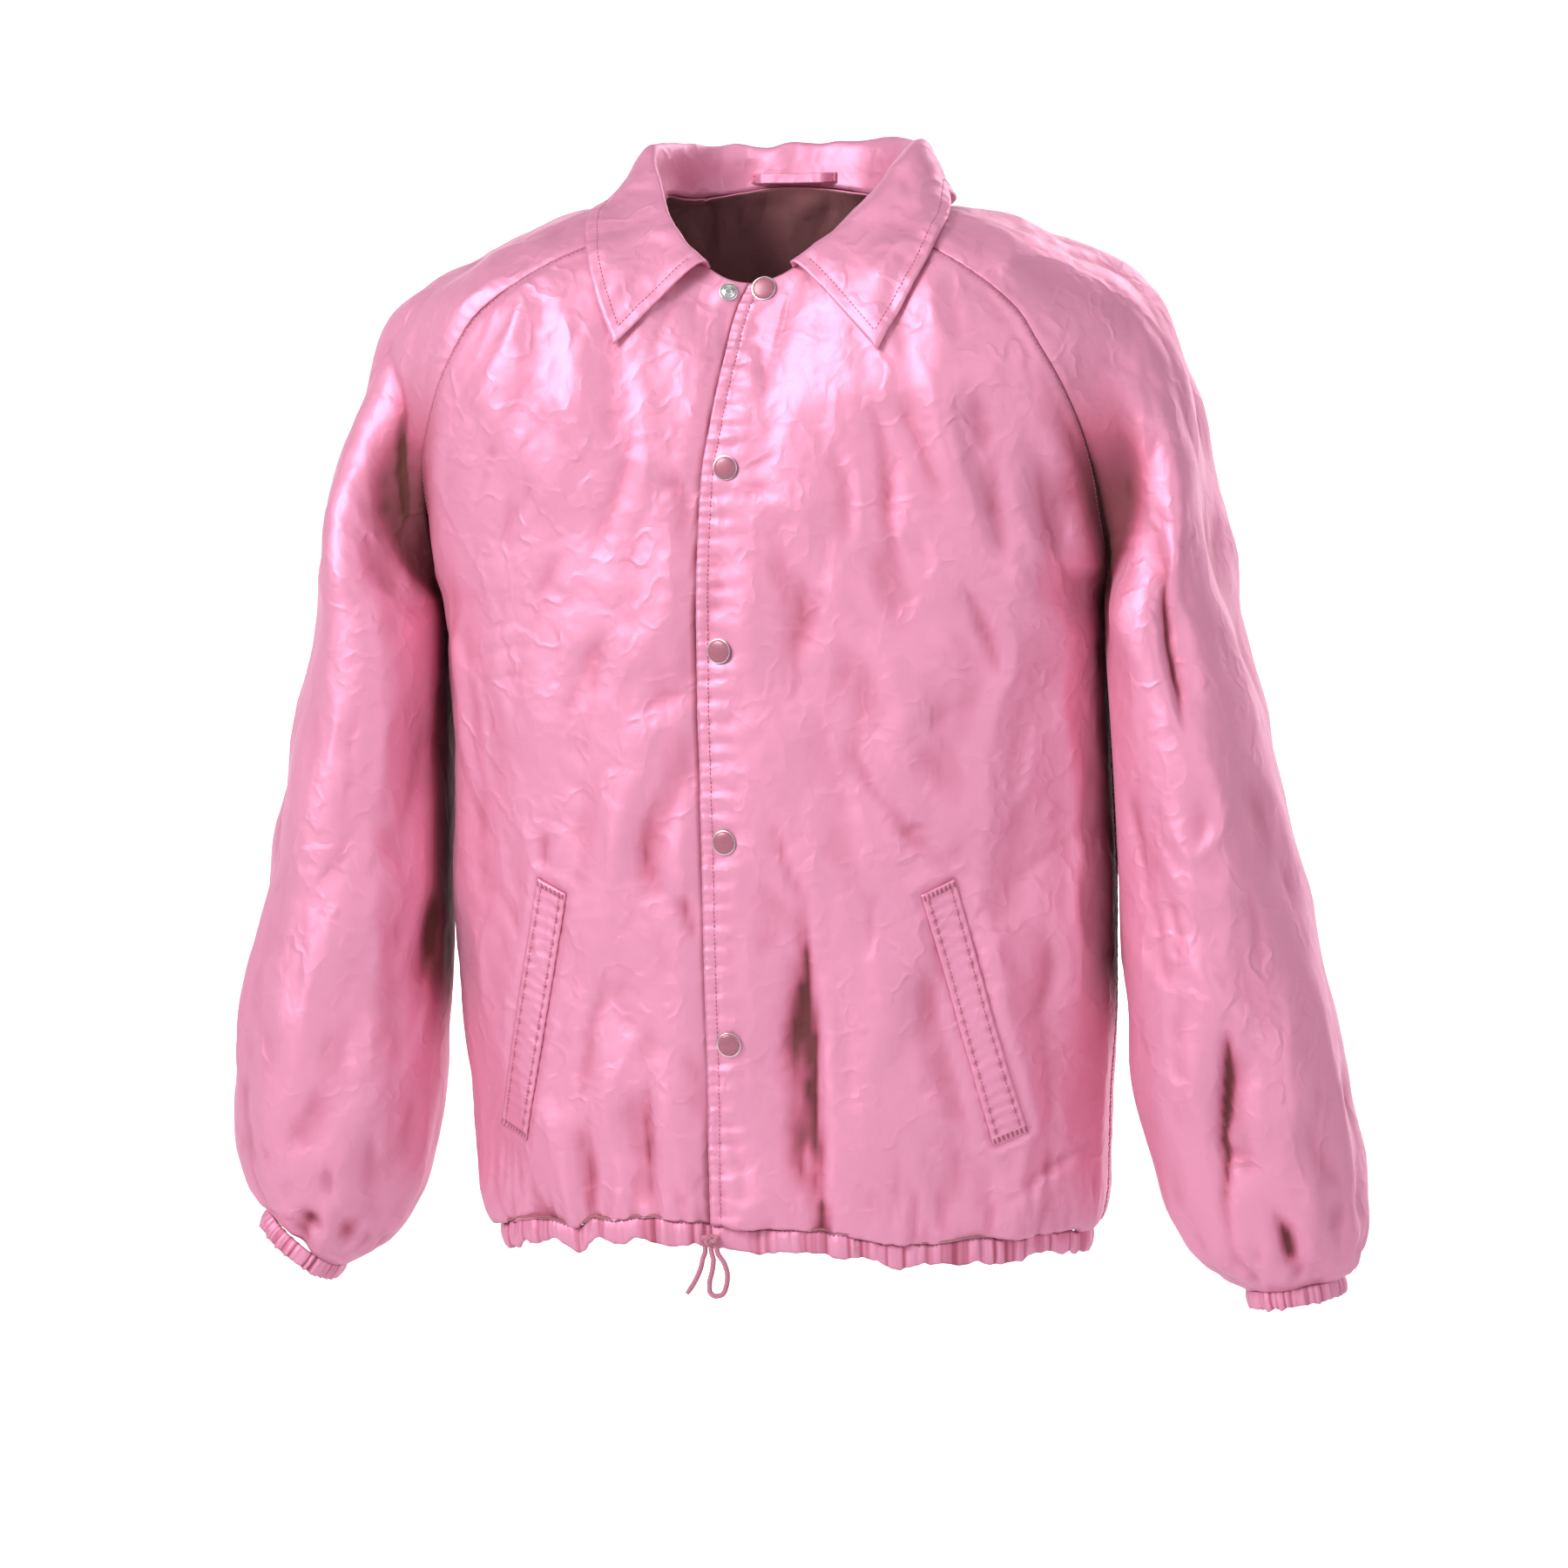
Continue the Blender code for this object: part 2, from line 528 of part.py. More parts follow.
def build_front(side):
    """One front, from its front edge to the raglan seam and side seam."""
    level = torso_levels()
    t = np.linspace(0, 1, FRONT_COLUMNS)
    if side > 0:
        edge = lap_s(level, 0.0)
    else:
        past = HIDDEN_EDGE_TOP + (HIDDEN_EDGE - HIDDEN_EDGE_TOP) * ease((1 - level) / 0.7)
        edge = lap_s(level, past)
    s = edge[:, None] + (side - edge)[:, None] * t
    levels = np.broadcast_to(level[:, None], s.shape)
    grid, normal = front(levels, s), front_normals(levels, s)
    normal[:, -1] = seam_normals(level, side, -1)
    grid += normal * relief("front", -1, grid, seam_mask(s))[..., None]
    if side < 0:
        under = ease((grid[..., 0] - lap_x(grid[..., 2]) + LAP_RAMP * 0.7) / LAP_RAMP)
        at_hem = ease((-0.85 - levels) / 0.12)
        grid[..., 1] += (LAP_DROP + (LAP_DROP_HEM - LAP_DROP) * at_hem) * under
    name = "front_left" if side > 0 else "front_right"
    return panel(name, grid, normal, ((-1, -2),))


def build_back():
    level = torso_levels()
    s = np.broadcast_to(np.linspace(-1, 1, BACK_COLUMNS), (len(level), BACK_COLUMNS)).copy()
    levels = np.broadcast_to(level[:, None], s.shape)
    grid, normal = back(levels, s), back_normals(levels, s)
    normal[:, -1] = seam_normals(level, 1, 1)
    normal[:, 0] = seam_normals(level, -1, 1)
    grid += normal * relief("back", 1, grid, seam_mask(s))[..., None]
    return panel("back", grid, normal, ((0, 1), (-1, -2)))


def build_sleeve(side):
    """A sleeve: an open cap between the raglan seams, closed to a tube below the underarm."""
    level = np.array(CAP_LEVELS + ARM_LEVELS)
    columns = SLEEVE_COLUMNS + 1
    s = np.broadcast_to(np.linspace(0, 1, columns), (len(level), columns)).copy()
    levels = np.broadcast_to(level[:, None], s.shape)
    grid = sleeve(side, levels, s)
    normal = sleeve_normals(side, levels, s)
    cap = level > 0
    ones = np.full(level.shape, float(side))
    for column, torso_normal in ((0, front_normals), (-1, back_normals)):
        other = torso_normal(np.maximum(level, 0.0), ones)
        both = shared(normal[:, column], other)
        normal[:, column] = np.where(cap[:, None], both, normal[:, column])
    name = "sleeve_left" if side > 0 else "sleeve_right"
    mask = np.where(levels > 0, ease(np.minimum(s, 1 - s) / 0.15), 1.0)
    grid += normal * relief(name, -1, grid, mask)[..., None]
    shift = np.zeros_like(grid)
    top = slice(0, len(CAP_LEVELS) - 1)
    for column, inner_column in ((0, 1), (-1, -2)):
        shift[top, column] = part_at_seam(grid[top], normal[top], column, inner_column, SEAM_GAP)
    underarm = len(CAP_LEVELS) - 1
    shift[underarm, 0] = (side * SEAM_GAP / 2, 0, 0)
    outer = (grid + shift).reshape(-1, 3)
    inner = outer - (normal * CLOTH).reshape(-1, 3)

    def index(r, c):
        closed = r >= underarm and c == columns - 1
        return r * columns + (0 if closed else c)

    faces = grid_faces(len(level), columns, index)
    used = sorted({v for face in faces for v in face})
    place = {v: k for k, v in enumerate(used)}
    faces = [tuple(place[v] for v in face) for face in faces]
    return wall(name, outer[used], inner[used], faces, SATIN)


def neckline(side, station):
    """Point of the neck seam at a collar station."""
    one = 1.0
    if station <= 1:
        return back(one, side * max(station, 1e-6))
    if station <= 3:
        return sleeve(side, one, 1 - (station - 1) / 2)
    end = abs(front_at(np.array(1.0), np.array(side * COLLAR_END)))
    return front(one, side * (1 + (end - 1) * (station - 3) / 2))


def collar_profile(side, station):
    """Points of the collar from the neck seam up the stand, over the roll and down to the leaf's edge."""
    seam = neckline(side, station)
    roll = read(ROLL[side], station)
    leaf = read(LEAF[side], station)
    out = unit((leaf - seam) * np.array([1, 1, 0]))
    lean = max(0.0, unit(roll - seam) @ out)
    seam = seam + np.array([0, 0, SEAM_GAP + 0.3 + COLLAR_CLOTH * lean])
    rise = roll - seam
    drop = leaf - roll
    radius = min(7.0, 0.45 * np.linalg.norm(rise))
    stand = bezier(seam, seam + 0.4 * rise, roll - radius * out, roll, np.linspace(0, 1, 5))
    fall = bezier(roll, roll + min(9.0, 0.3 * np.linalg.norm(drop)) * out, leaf - 0.4 * drop, leaf,
                  np.linspace(0, 1, 7))
    return np.vstack([stand, fall[1:]])


def tree_of(*objects):
    """Search tree over the meshes of finished objects, in millimetres."""
    verts, faces = [], []
    for body in objects:
        start = len(verts)
        verts += [tuple(v.co / MM) for v in body.data.vertices]
        faces += [tuple(start + v for v in p.vertices) for p in body.data.polygons]
    return BVHTree.FromPolygons(verts, faces)


def sheet_normals(grid):
    """Normals of a grid of points, turned to the side of the rows' direction across the columns'."""
    return -unit(np.cross(np.gradient(grid, axis=0), np.gradient(grid, axis=1)))


def keep_off(grid, tree, rows, clear):
    """Lift the given rows of a grid along their normals until they clear the cloth beneath."""
    reach = 30.0
    normal = sheet_normals(grid)
    for r in rows:
        for c in range(grid.shape[1]):
            out = Vector(normal[r, c])
            _, _, _, distance = tree.ray_cast(Vector(grid[r, c]) + out * reach, -out, 2 * reach)
            if distance is not None and distance < reach + clear:
                grid[r, c] += normal[r, c] * (reach + clear - distance)
    return grid


def build_collar(garment):
    """Collar: one folded sheet, stand and leaf, round the neck from end to end."""
    stations = np.linspace(0, 5, 5 * COLLAR_STEP_COLUMNS + 1)
    right = [collar_profile(-1, k) for k in stations[::-1]]
    left = [collar_profile(1, k) for k in stations[1:]]
    grid = np.stack(right + left, axis=1)
    for _ in range(3):
        grid = keep_off(grid, garment, range(6, grid.shape[0]), LEAF_CLEAR + COLLAR_CLOTH)
    return panel("collar", grid, sheet_normals(grid), cloth=COLLAR_CLOTH)


def hem_ring(count, edges):
    """Points and outward directions at an even spacing along the bottom edges of the panels."""
    dense = np.vstack([edges[0]] + [edge[1:] for edge in edges[1:]])
    travelled = np.concatenate([[0], np.cumsum(np.linalg.norm(np.diff(dense, axis=0), axis=1))])
    wanted = np.linspace(0, travelled[-1], count)
    ring = np.stack([np.interp(wanted, travelled, dense[:, k]) for k in range(3)], axis=1)
    tangent = np.gradient(ring, axis=0)
    out = unit(np.stack([tangent[:, 1], -tangent[:, 0], np.zeros(count)], axis=1))
    return ring, out


def build_casing(edges):
    """Hem casing, gathered by its cord, round the hem and open at the front."""
    count = 2 * CASING_WAVES + 1
    ring, out = hem_ring(count, edges)
    step = np.linalg.norm(ring[1] - ring[0])
    from_end = np.minimum(np.arange(count), count - 1 - np.arange(count)) * step
    loose = ease((from_end - CALM_END) / CALM_END)
    wave = (np.where(np.arange(count) % 2 == 0, 1.0, -1.0) * CASING_WAVE_DEPTH * loose)[:, None]
    top = ring - np.array([0, 0, SEAM_GAP + 0.3]) + out * (wave * 0.5 - 0.6)
    bottom = ring - np.array([0, 0, CASING_DEPTH]) + out * (wave - 1.4 * loose[:, None])
    grid = np.stack([top, bottom])
    normal = np.broadcast_to(out, grid.shape).copy()
    return panel("hem_casing", grid, normal, cloth=CASING_CLOTH)


def build_cuff(side):
    """Gathered cuff below the end of a sleeve."""
    count = 2 * CUFF_WAVES
    s = np.arange(count) / count
    end = sleeve(side, np.full(count, -1.08), s)
    centre = end.mean(axis=0)
    inner_x, inner_z, outer_x, outer_z = WRIST[side][-1][1:5]
    along_ring = unit(np.array([side * (outer_x - inner_x), 0, outer_z - inner_z]))
    axis = unit(np.cross(along_ring, (0, side, 0)))
    axis *= -np.sign(axis[2])
    out = unit(end - centre)
    wave = (np.where(np.arange(count) % 2 == 0, 1.0, -1.0) * CUFF_WAVE_DEPTH)[:, None]
    top = end + axis * (SEAM_GAP + 0.3) - out * 0.4
    rows = [top + out * wave * 0.5, top + axis * CUFF_DEPTH + out * wave]
    grid = np.stack([np.vstack([row, row[:1]]) for row in rows])
    outer = grid[:, :-1].reshape(-1, 3)
    out_rows = np.tile(out, (2, 1))
    faces = grid_faces(2, count + 1, lambda r, c: r * count + c % count)
    name = "cuff_left" if side > 0 else "cuff_right"
    return wall(name, outer, outer - out_rows * CUFF_CLOTH, faces, SATIN)


def surface_frame(body, x, z, face=-1):
    """Where a line along Y meets a finished piece at x, z, and the outward normal there, in millimetres."""
    tree = tree_of(body)
    spot, normal, _, _ = tree.ray_cast(Vector((x, face * 400, z)), Vector((0, -face, 0)))
    return np.array(spot), np.array(normal)


def frame_about(axis):
    """Unit axis and two directions square to it."""
    axis = unit(np.array(axis, float))
    helper = (1.0, 0.0, 0.0) if abs(axis[2]) > 0.9 else (0.0, 0.0, 1.0)
    across = unit(np.cross(axis, helper))
    return axis, across, np.cross(axis, across)


def turned(profile, sides, place, axis):
    """Solid of revolution of (radius, height) pairs about an axis at a place."""
    axis, across, third = frame_about(axis)
    verts = [np.array(place) + axis * profile[0][1]]
    for radius, height in profile[1:-1]:
        for k in range(sides):
            a = 2 * math.pi * k / sides
            verts.append(np.array(place) + axis * height + radius * (math.cos(a) * across + math.sin(a) * third))
    verts.append(np.array(place) + axis * profile[-1][1])
    faces = [(0, 1 + (k + 1) % sides, 1 + k) for k in range(sides)]
    rings = len(profile) - 2
    for r in range(rings - 1):
        for k in range(sides):
            a, b = 1 + r * sides + k, 1 + r * sides + (k + 1) % sides
            faces.append((a, b, b + sides, a + sides))
    last = 1 + rings * sides
    faces += [(last, last - sides + k, last - sides + (k + 1) % sides) for k in range(sides)]
    return verts, faces


def lifted(place, axis, radius, tree):
    """Least lift along the axis at which a disc of this radius clears the cloth by half the seam gap."""
    axis, across, third = frame_about(axis)
    highest = -9.0
    for ring in (0.0, 0.5, 1.0):
        for k in range(16):
            a = math.pi * k / 8
            spot = np.array(place) + ring * radius * (math.cos(a) * across + math.sin(a) * third)
            hit = tree.ray_cast(Vector(spot + axis * 8), Vector(-axis))
            if hit[0] is not None:
                highest = max(highest, 8 - hit[3])
    return highest + SEAM_GAP


def build_snap(name, body, x, z, radius, height, knob, finish):
    """Round snap piece standing on the cloth of a front."""
    place, axis = surface_frame(body, x, z)
    place = place + axis * lifted(place, axis, radius, tree_of(body))
    if knob:
        profile = [(0, 0), (radius, 0), (radius, 0.7), (radius * 0.62, 0.9), (radius * 0.42, height),
                   (0, height)]
    else:
        profile = [(0, 0), (radius * 0.92, 0), (radius, 0.5), (radius * 0.97, height * 0.45),
                   (radius * 0.75, height * 0.8), (radius * 0.4, height * 0.97), (0, height)]
    verts, faces = turned(profile, 12, place, axis)
    return add_object(name, verts, faces, finish)


def build_snaps(left, right):
    for k, z in enumerate(SNAP_Z):
        x = float(lap_x(z)) + SNAP_INSET - (4.0 if k == 0 else 0.0)
        build_snap(f"snap_cap_{k}", left, x, z, CAP_RADIUS, CAP_HEIGHT, False, CAP_COLOUR)
        if k == 0:
            build_snap("snap_stud_0", right, *OPEN_STUD, STUD_RADIUS + 0.6, STUD_HEIGHT + 0.6, True, STEEL)
        else:
            build_snap(f"snap_stud_{k}", right, x, z, STUD_RADIUS, STUD_HEIGHT, True, STEEL)


def build_welt(side, body):
    """Slanted welt lying on a front over its pocket mouth."""
    rows, columns = 9, 3
    corners = [np.array((side * (x + 5.0 + WELT_OUT[side]) - 5.0, z)) for x, z in WELT]
    tree = tree_of(body)
    grid, normal = np.zeros((rows, columns, 3)), np.zeros((rows, columns, 3))
    for r in range(rows):
        down = r / (rows - 1)
        inner = corners[0] * (1 - down) + corners[3] * down
        outer = corners[1] * (1 - down) + corners[2] * down
        for c in range(columns):
            x, z = inner + (outer - inner) * c / (columns - 1)
            spot, facing, _, _ = tree.ray_cast(Vector((x, -400, z)), Vector((0, 1, 0)))
            grid[r, c], normal[r, c] = spot, facing
    normal = unit(normal + normal.mean(axis=(0, 1)))
    under = WELT_CLOTH + WELT_CLEAR
    name = "pocket_welt_left" if side > 0 else "pocket_welt_right"
    return panel(name, grid + normal * under, normal, cloth=WELT_CLOTH)


def build_loop(collar):
    """Hanging loop across the inside of the back of the neck, standing off the collar's stand."""
    count = 9
    tree = tree_of(collar)
    rows = []
    for z in (LOOP_TOP, LOOP_TOP - LOOP_HEIGHT):
        rows.append([])
        for k in range(count):
            x = LOOP_HALF * (2 * k / (count - 1) - 1)
            spot, _, _, _ = tree.ray_cast(Vector((x, 20, z)), Vector((0, 1, 0)))
            arch = float(ease(min(1.0, (1 - abs(x) / LOOP_HALF) * 3.2)))
            rows[-1].append((x, spot[1] - SEAM_GAP - 0.3 - LOOP_STAND_OFF * arch, z))
    grid = np.array(rows)
    slope = np.gradient(grid, axis=1)
    normal = unit(np.stack([slope[..., 1], -slope[..., 0], np.zeros(grid.shape[:2])], axis=-1))
    grid = grid + normal * LOOP_CLOTH
    return panel("hang_loop", grid, normal, cloth=LOOP_CLOTH)


def smooth_route(route, spacing):
    """Points at an even spacing along a smooth curve through a route."""
    route = np.array(route, float)
    steps = np.concatenate([[0], np.cumsum(np.linalg.norm(np.diff(route, axis=0), axis=1))])
    table = [(a, *p) for a, p in zip(steps, route)]
    fine = read(table, np.linspace(0, steps[-1], 400)).T
    travelled = np.concatenate([[0], np.cumsum(np.linalg.norm(np.diff(fine, axis=0), axis=1))])
    wanted = np.linspace(0, travelled[-1], max(4, int(travelled[-1] / spacing)))
    return np.stack([np.interp(wanted, travelled, fine[:, k]) for k in range(3)], axis=1)


def build_cord(name, route):
    curve = bpy.data.curves.new(name, "CURVE")
    curve.dimensions = "3D"
    curve.bevel_depth = CORD_DIAMETER / 2 * MM
    curve.bevel_resolution = 2
    curve.use_fill_caps = True
    line = smooth_route(route, CORD_DIAMETER)
    spline = curve.splines.new("POLY")
    spline.points.add(len(line) - 1)
    for point, place in zip(spline.points, line):
        point.co = (*(place * MM), 1.0)
    curve.materials.append(material(CORD_COLOUR))
    body = bpy.data.objects.new(name, curve)
    bpy.context.scene.collection.objects.link(body)
    return body


def build_knot(casing):
    """The knot in the drawcord, a flattened ball seated against the casing. Returns its middle."""
    rings, sides = 6, 10
    profile = [(math.sin(math.pi * k / rings), -math.cos(math.pi * k / rings)) for k in range(rings + 1)]
    verts, faces = turned(profile, sides, (0, 0, 0), (0, 0, 1))
    size = np.array(KNOT_SIZE) / 2
    place = np.array((KNOT_X, -200.0, KNOT_Z))
    verts = [np.array(v) * size + place for v in verts]
    tree = tree_of(casing)
    away = [tree.ray_cast(Vector(v), Vector((0, 1, 0)))[3] for v in verts]
    shift = np.array((0, min(d for d in away if d is not None) - 2 * SEAM_GAP, 0))
    add_object("drawcord_knot", [v + shift for v in verts], faces, CORD_COLOUR)
    return place + shift


def main():
    for old in list(bpy.data.objects):
        bpy.data.objects.remove(old)
    left, left_grid = build_front(1)
    right, right_grid = build_front(-1)
    rear, rear_grid = build_back()
    sleeves = [build_sleeve(1), build_sleeve(-1)]
    collar, _ = build_collar(tree_of(left, right, rear, *sleeves))
    casing, _ = build_casing((left_grid[-1], rear_grid[-1, ::-1], right_grid[-1, ::-1]))
    for side in (1, -1):
        build_cuff(side)
    build_snaps(left, right)
    build_welt(1, left)
    build_welt(-1, right)
    build_loop(collar)
    knot = build_knot(casing)
    build_cord("drawcord_tail", knot + np.array(CORD_TAIL))
    build_cord("drawcord_loop", knot + np.array(CORD_LOOP))


main()
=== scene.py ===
"""Looks of the coach jacket: fine cloth over the built solids, with creases, stitching, snaps and drawcord.

The front faces -Y, the wearer's left is +X and the origin is the middle of the neck. Tables and working sizes
are in millimetres, and meshes are in metres. Creases on the side that the camera sees are placed where they
show in the 1800 x 1800 frame.
"""

import math
from functools import partial

import bpy
import numpy as np
from bpy.props import FloatProperty, FloatVectorProperty, PointerProperty
from mathutils import Matrix, Vector
from mathutils.bvhtree import BVHTree


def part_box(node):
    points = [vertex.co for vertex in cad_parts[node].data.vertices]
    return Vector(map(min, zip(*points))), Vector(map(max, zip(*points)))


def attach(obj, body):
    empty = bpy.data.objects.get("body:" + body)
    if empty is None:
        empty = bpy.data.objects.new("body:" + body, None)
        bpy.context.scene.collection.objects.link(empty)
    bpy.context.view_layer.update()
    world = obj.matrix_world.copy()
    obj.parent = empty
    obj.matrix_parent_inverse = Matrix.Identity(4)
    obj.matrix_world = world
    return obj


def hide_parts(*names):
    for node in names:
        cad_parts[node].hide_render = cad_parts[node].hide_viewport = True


bl_info = {
    "name": "Coach jacket",
    "version": (1, 0, 0),
    "blender": (4, 5, 0),
    "location": "View3D > Sidebar > Jacket",
    "description": "Satin nylon coach jacket with raglan sleeves, snap front and drawcord hem",
    "category": "Add Mesh",
}

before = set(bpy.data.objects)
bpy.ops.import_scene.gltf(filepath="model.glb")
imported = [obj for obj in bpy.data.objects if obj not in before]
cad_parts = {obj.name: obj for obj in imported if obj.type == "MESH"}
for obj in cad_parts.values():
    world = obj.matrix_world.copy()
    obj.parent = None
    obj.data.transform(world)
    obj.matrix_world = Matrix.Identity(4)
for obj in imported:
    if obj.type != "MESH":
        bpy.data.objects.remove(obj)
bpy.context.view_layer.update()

MM = 0.001

# Camera: direction, distance and roll, and the size that one pixel of the photograph has at the neck
AZIMUTH, ELEVATION, ROLL_ANGLE = math.radians(12), math.radians(7), math.radians(1.6)
DISTANCE, PIXEL = 5000.0, 0.6
FRAME_MIDDLE, NECK_PIXEL = 900.0, (889.0, 240.0)

# Cloth and seams
SEAM_GAP = 0.34
SEAT = SEAM_GAP + 0.3           # air under a piece that is sewn on another
COLLAR_CLOTH, CASING_CLOTH, CUFF_CLOTH, WELT_CLOTH = 1.6, 2.4, 2.2, 1.6
LAP_DROP, LAP_DROP_HEM, LAP_RAMP = 5.6, 8.6, 26.0
LOOP_HALF, LOOP_TOP, LOOP_HEIGHT, LOOP_CLOTH, LOOP_STAND_OFF = 30.0, 22.0, 7.0, 1.2, 8.0
SEAM_ROW, WELT_ROW = 2.2, 4.5   # stitches beside a seam, and in from the edge of a welt
HEM_LEVEL, WRIST_LEVEL, UNDERARM_Z = -1.06, -1.08, -268.0
SIDES = ((1, "left"), (-1, "right"))

# Fineness of the meshes, in rows or columns of points or as mm from row to row
STAND_ROWS, FALL_ROWS, CASING_ROWS, WELT_ROWS, LOOP_ROWS = 12, 26, 9, 90, 7
WELT_COLUMNS, LOOP_COLUMNS, COLLAR_COLUMNS, CASING_COLUMNS, CUFF_COLUMNS = 13, 61, 111, 1000, 264
FRONT_COLUMNS, BACK_COLUMNS, SLEEVE_COLUMNS = 78, 151, 132
EDGE_COLUMNS, EDGE_SHARE = 11, 0.064    # closer columns in the first share of a front
FRONT_STEP, BACK_STEP, SLEEVE_STEP, CORD_STEP = 2.2, 3.2, 3.0, 1.2
COARSE = 1.0

# Every placed crease: widening, how far it is worked out in half widths, fade toward its ends, sharpness
CREASE_WIDTH, CREASE_REACH, CREASE_FADE, CREASE_POWER = 1.5, 3.5, 0.42, 1.25
HEM_FOLDS_FROM = -600.0         # height at which the small folds over the hem start
RAY_START = -400.0              # in front of the garment

# The three borders of each front, as x against height
LAP_EDGE = (
    # z, x of the left front's edge
    (-30, 3.0), (-42, 1.0), (-60, -7.0), (-96, -14.5), (-140, -22.5), (-163, -27.0), (-205, -31.5),
    (-271, -34.8), (-324, -35.8), (-431, -36.4), (-500, -37.7), (-580, -38.6), (-655, -40.0), (-720, -40.6),
)
HIDDEN_EDGE = 32.0      # the right front's own edge lies this far past the left front's edge
HIDDEN_EDGE_TOP = 7.0   # and this far at the neck, where the snap is open

# Middle of the garment at each level
MIDDLE = (
    # level, x
    (1.0, 0.0), (0.87, -1.0), (0.74, -3.0), (0.5, -5.0), (0.0, -5.0), (-1.2, -5.0),
)

# Level 1 is the neckline, 0 the underarm and -1 the hem. Each row of a front or back goes from the middle
# to the raglan seam above the underarm and to the side seam below it.
FRONT = (
    # level, middle y, z, seam x, y, z, turn at the seam, rise, reach at the middle, reach at the seam
    (1.00, -86.0, -46.0, 62.0, -50.0, -4.0, 68, 0.55, 26, 24),
    (0.87, -101.0, -77.0, 132.0, -84.0, -26.0, 42, 0.35, 46, 42),
    (0.74, -114.0, -106.0, 183.0, -93.0, -60.0, 38, 0.28, 64, 56),
    (0.62, -123.0, -132.0, 203.0, -92.0, -88.0, 42, 0.15, 74, 62),
    (0.50, -128.0, -158.0, 219.0, -84.0, -119.0, 48, 0.10, 84, 60),
    (0.35, -130.0, -190.0, 232.0, -72.0, -160.0, 56, 0.05, 102, 58),
    (0.20, -130.0, -222.0, 236.0, -50.0, -207.0, 70, 0.0, 122, 62),
    (0.08, -130.0, -250.0, 235.0, -24.0, -245.0, 83, 0.0, 138, 78),
    (0.00, -130.0, -268.0, 232.0, 0.0, -268.0, 90, 0.0, 146, 96),
    (-0.16, -130.0, -335.0, 231.0, 0.0, -337.0, 90, 0.0, 145, 92),
    (-0.306, -129.0, -397.0, 232.0, 0.0, -400.0, 90, 0.0, 143, 84),
    (-0.444, -128.0, -455.0, 233.5, 0.0, -460.0, 90, 0.0, 140, 74),
    (-0.56, -125.0, -503.0, 232.5, 0.0, -510.0, 90, 0.0, 140, 73),
    (-0.671, -122.5, -549.0, 231.0, 0.0, -558.0, 90, 0.0, 139, 71),
    (-0.787, -120.0, -597.0, 226.0, 0.0, -608.0, 90, 0.0, 136, 70),
    (-0.90, -118.0, -645.0, 223.5, 0.0, -657.0, 90, 0.0, 134, 68),
    (-0.96, -117.0, -670.0, 222.0, 0.0, -683.0, 90, 0.0, 133, 68),
    (-1.00, -115.5, -687.0, 218.5, 0.0, -700.0, 90, 0.0, 131, 67),
    (-1.03, -113.8, -693.0, 214.5, 0.0, -706.5, 90, 0.0, 128, 65),
    (-1.06, -112.0, -691.5, 210.0, 0.0, -705.0, 90, 0.0, 125, 63),
)
BACK = (
    # level, middle y, z, seam x, y, z, turn at the seam, rise, reach at the middle, reach at the seam
    (1.00, 70.0, 12.0, 60.0, 52.0, 6.0, 50, -0.05, 22, 20),
    (0.87, 95.0, -30.0, 120.0, 92.0, -20.0, 20, 0.12, 42, 40),
    (0.74, 112.0, -70.0, 176.0, 105.0, -52.0, 25, 0.12, 62, 56),
    (0.62, 121.0, -104.0, 201.0, 104.0, -81.0, 32, 0.10, 72, 60),
    (0.50, 126.0, -136.0, 219.0, 92.0, -114.0, 44, 0.08, 84, 62),
    (0.35, 127.0, -176.0, 232.0, 77.0, -158.0, 57, 0.04, 102, 58),
    (0.20, 125.0, -216.0, 236.0, 52.0, -206.0, 72, 0.0, 122, 60),
    (0.08, 123.0, -248.0, 235.0, 25.0, -245.0, 83, 0.0, 138, 76),
    (0.00, 122.0, -268.0, 232.0, 0.0, -268.0, 90, 0.0, 146, 90),
    (-0.16, 119.0, -336.0, 231.0, 0.0, -337.0, 90, 0.0, 145, 85),
    (-0.306, 115.0, -400.0, 232.0, 0.0, -400.0, 90, 0.0, 143, 75),
    (-0.444, 112.0, -460.0, 233.5, 0.0, -460.0, 90, 0.0, 140, 65),
    (-0.56, 112.0, -510.0, 232.5, 0.0, -510.0, 90, 0.0, 140, 65),
    (-0.671, 114.0, -558.0, 231.0, 0.0, -558.0, 90, 0.0, 139, 66),
    (-0.787, 117.0, -608.0, 226.0, 0.0, -608.0, 90, 0.0, 136, 68),
    (-0.90, 119.0, -656.0, 223.5, 0.0, -657.0, 90, 0.0, 134, 69),
    (-0.96, 119.0, -682.0, 222.0, 0.0, -683.0, 90, 0.0, 133, 69),
    (-1.00, 117.5, -699.0, 218.5, 0.0, -700.0, 90, 0.0, 131, 68),
    (-1.03, 115.0, -705.5, 214.5, 0.0, -706.5, 90, 0.0, 128, 66),
    (-1.06, 112.0, -704.0, 210.0, 0.0, -705.0, 90, 0.0, 125, 64),
)
HEM_DIP = (
    # x, how far the hem rises above its even line
    (-260, 0.0), (-205, 0.0), (-137, 2.0), (-88, 7.0), (-38, 3.0), (20, 0.0), (75, -7.0), (108, -9.0),
    (160, -2.5), (205, 0.0), (260, 0.0),
)
HEM_DIP_FROM = -0.78    # level at which the dip starts

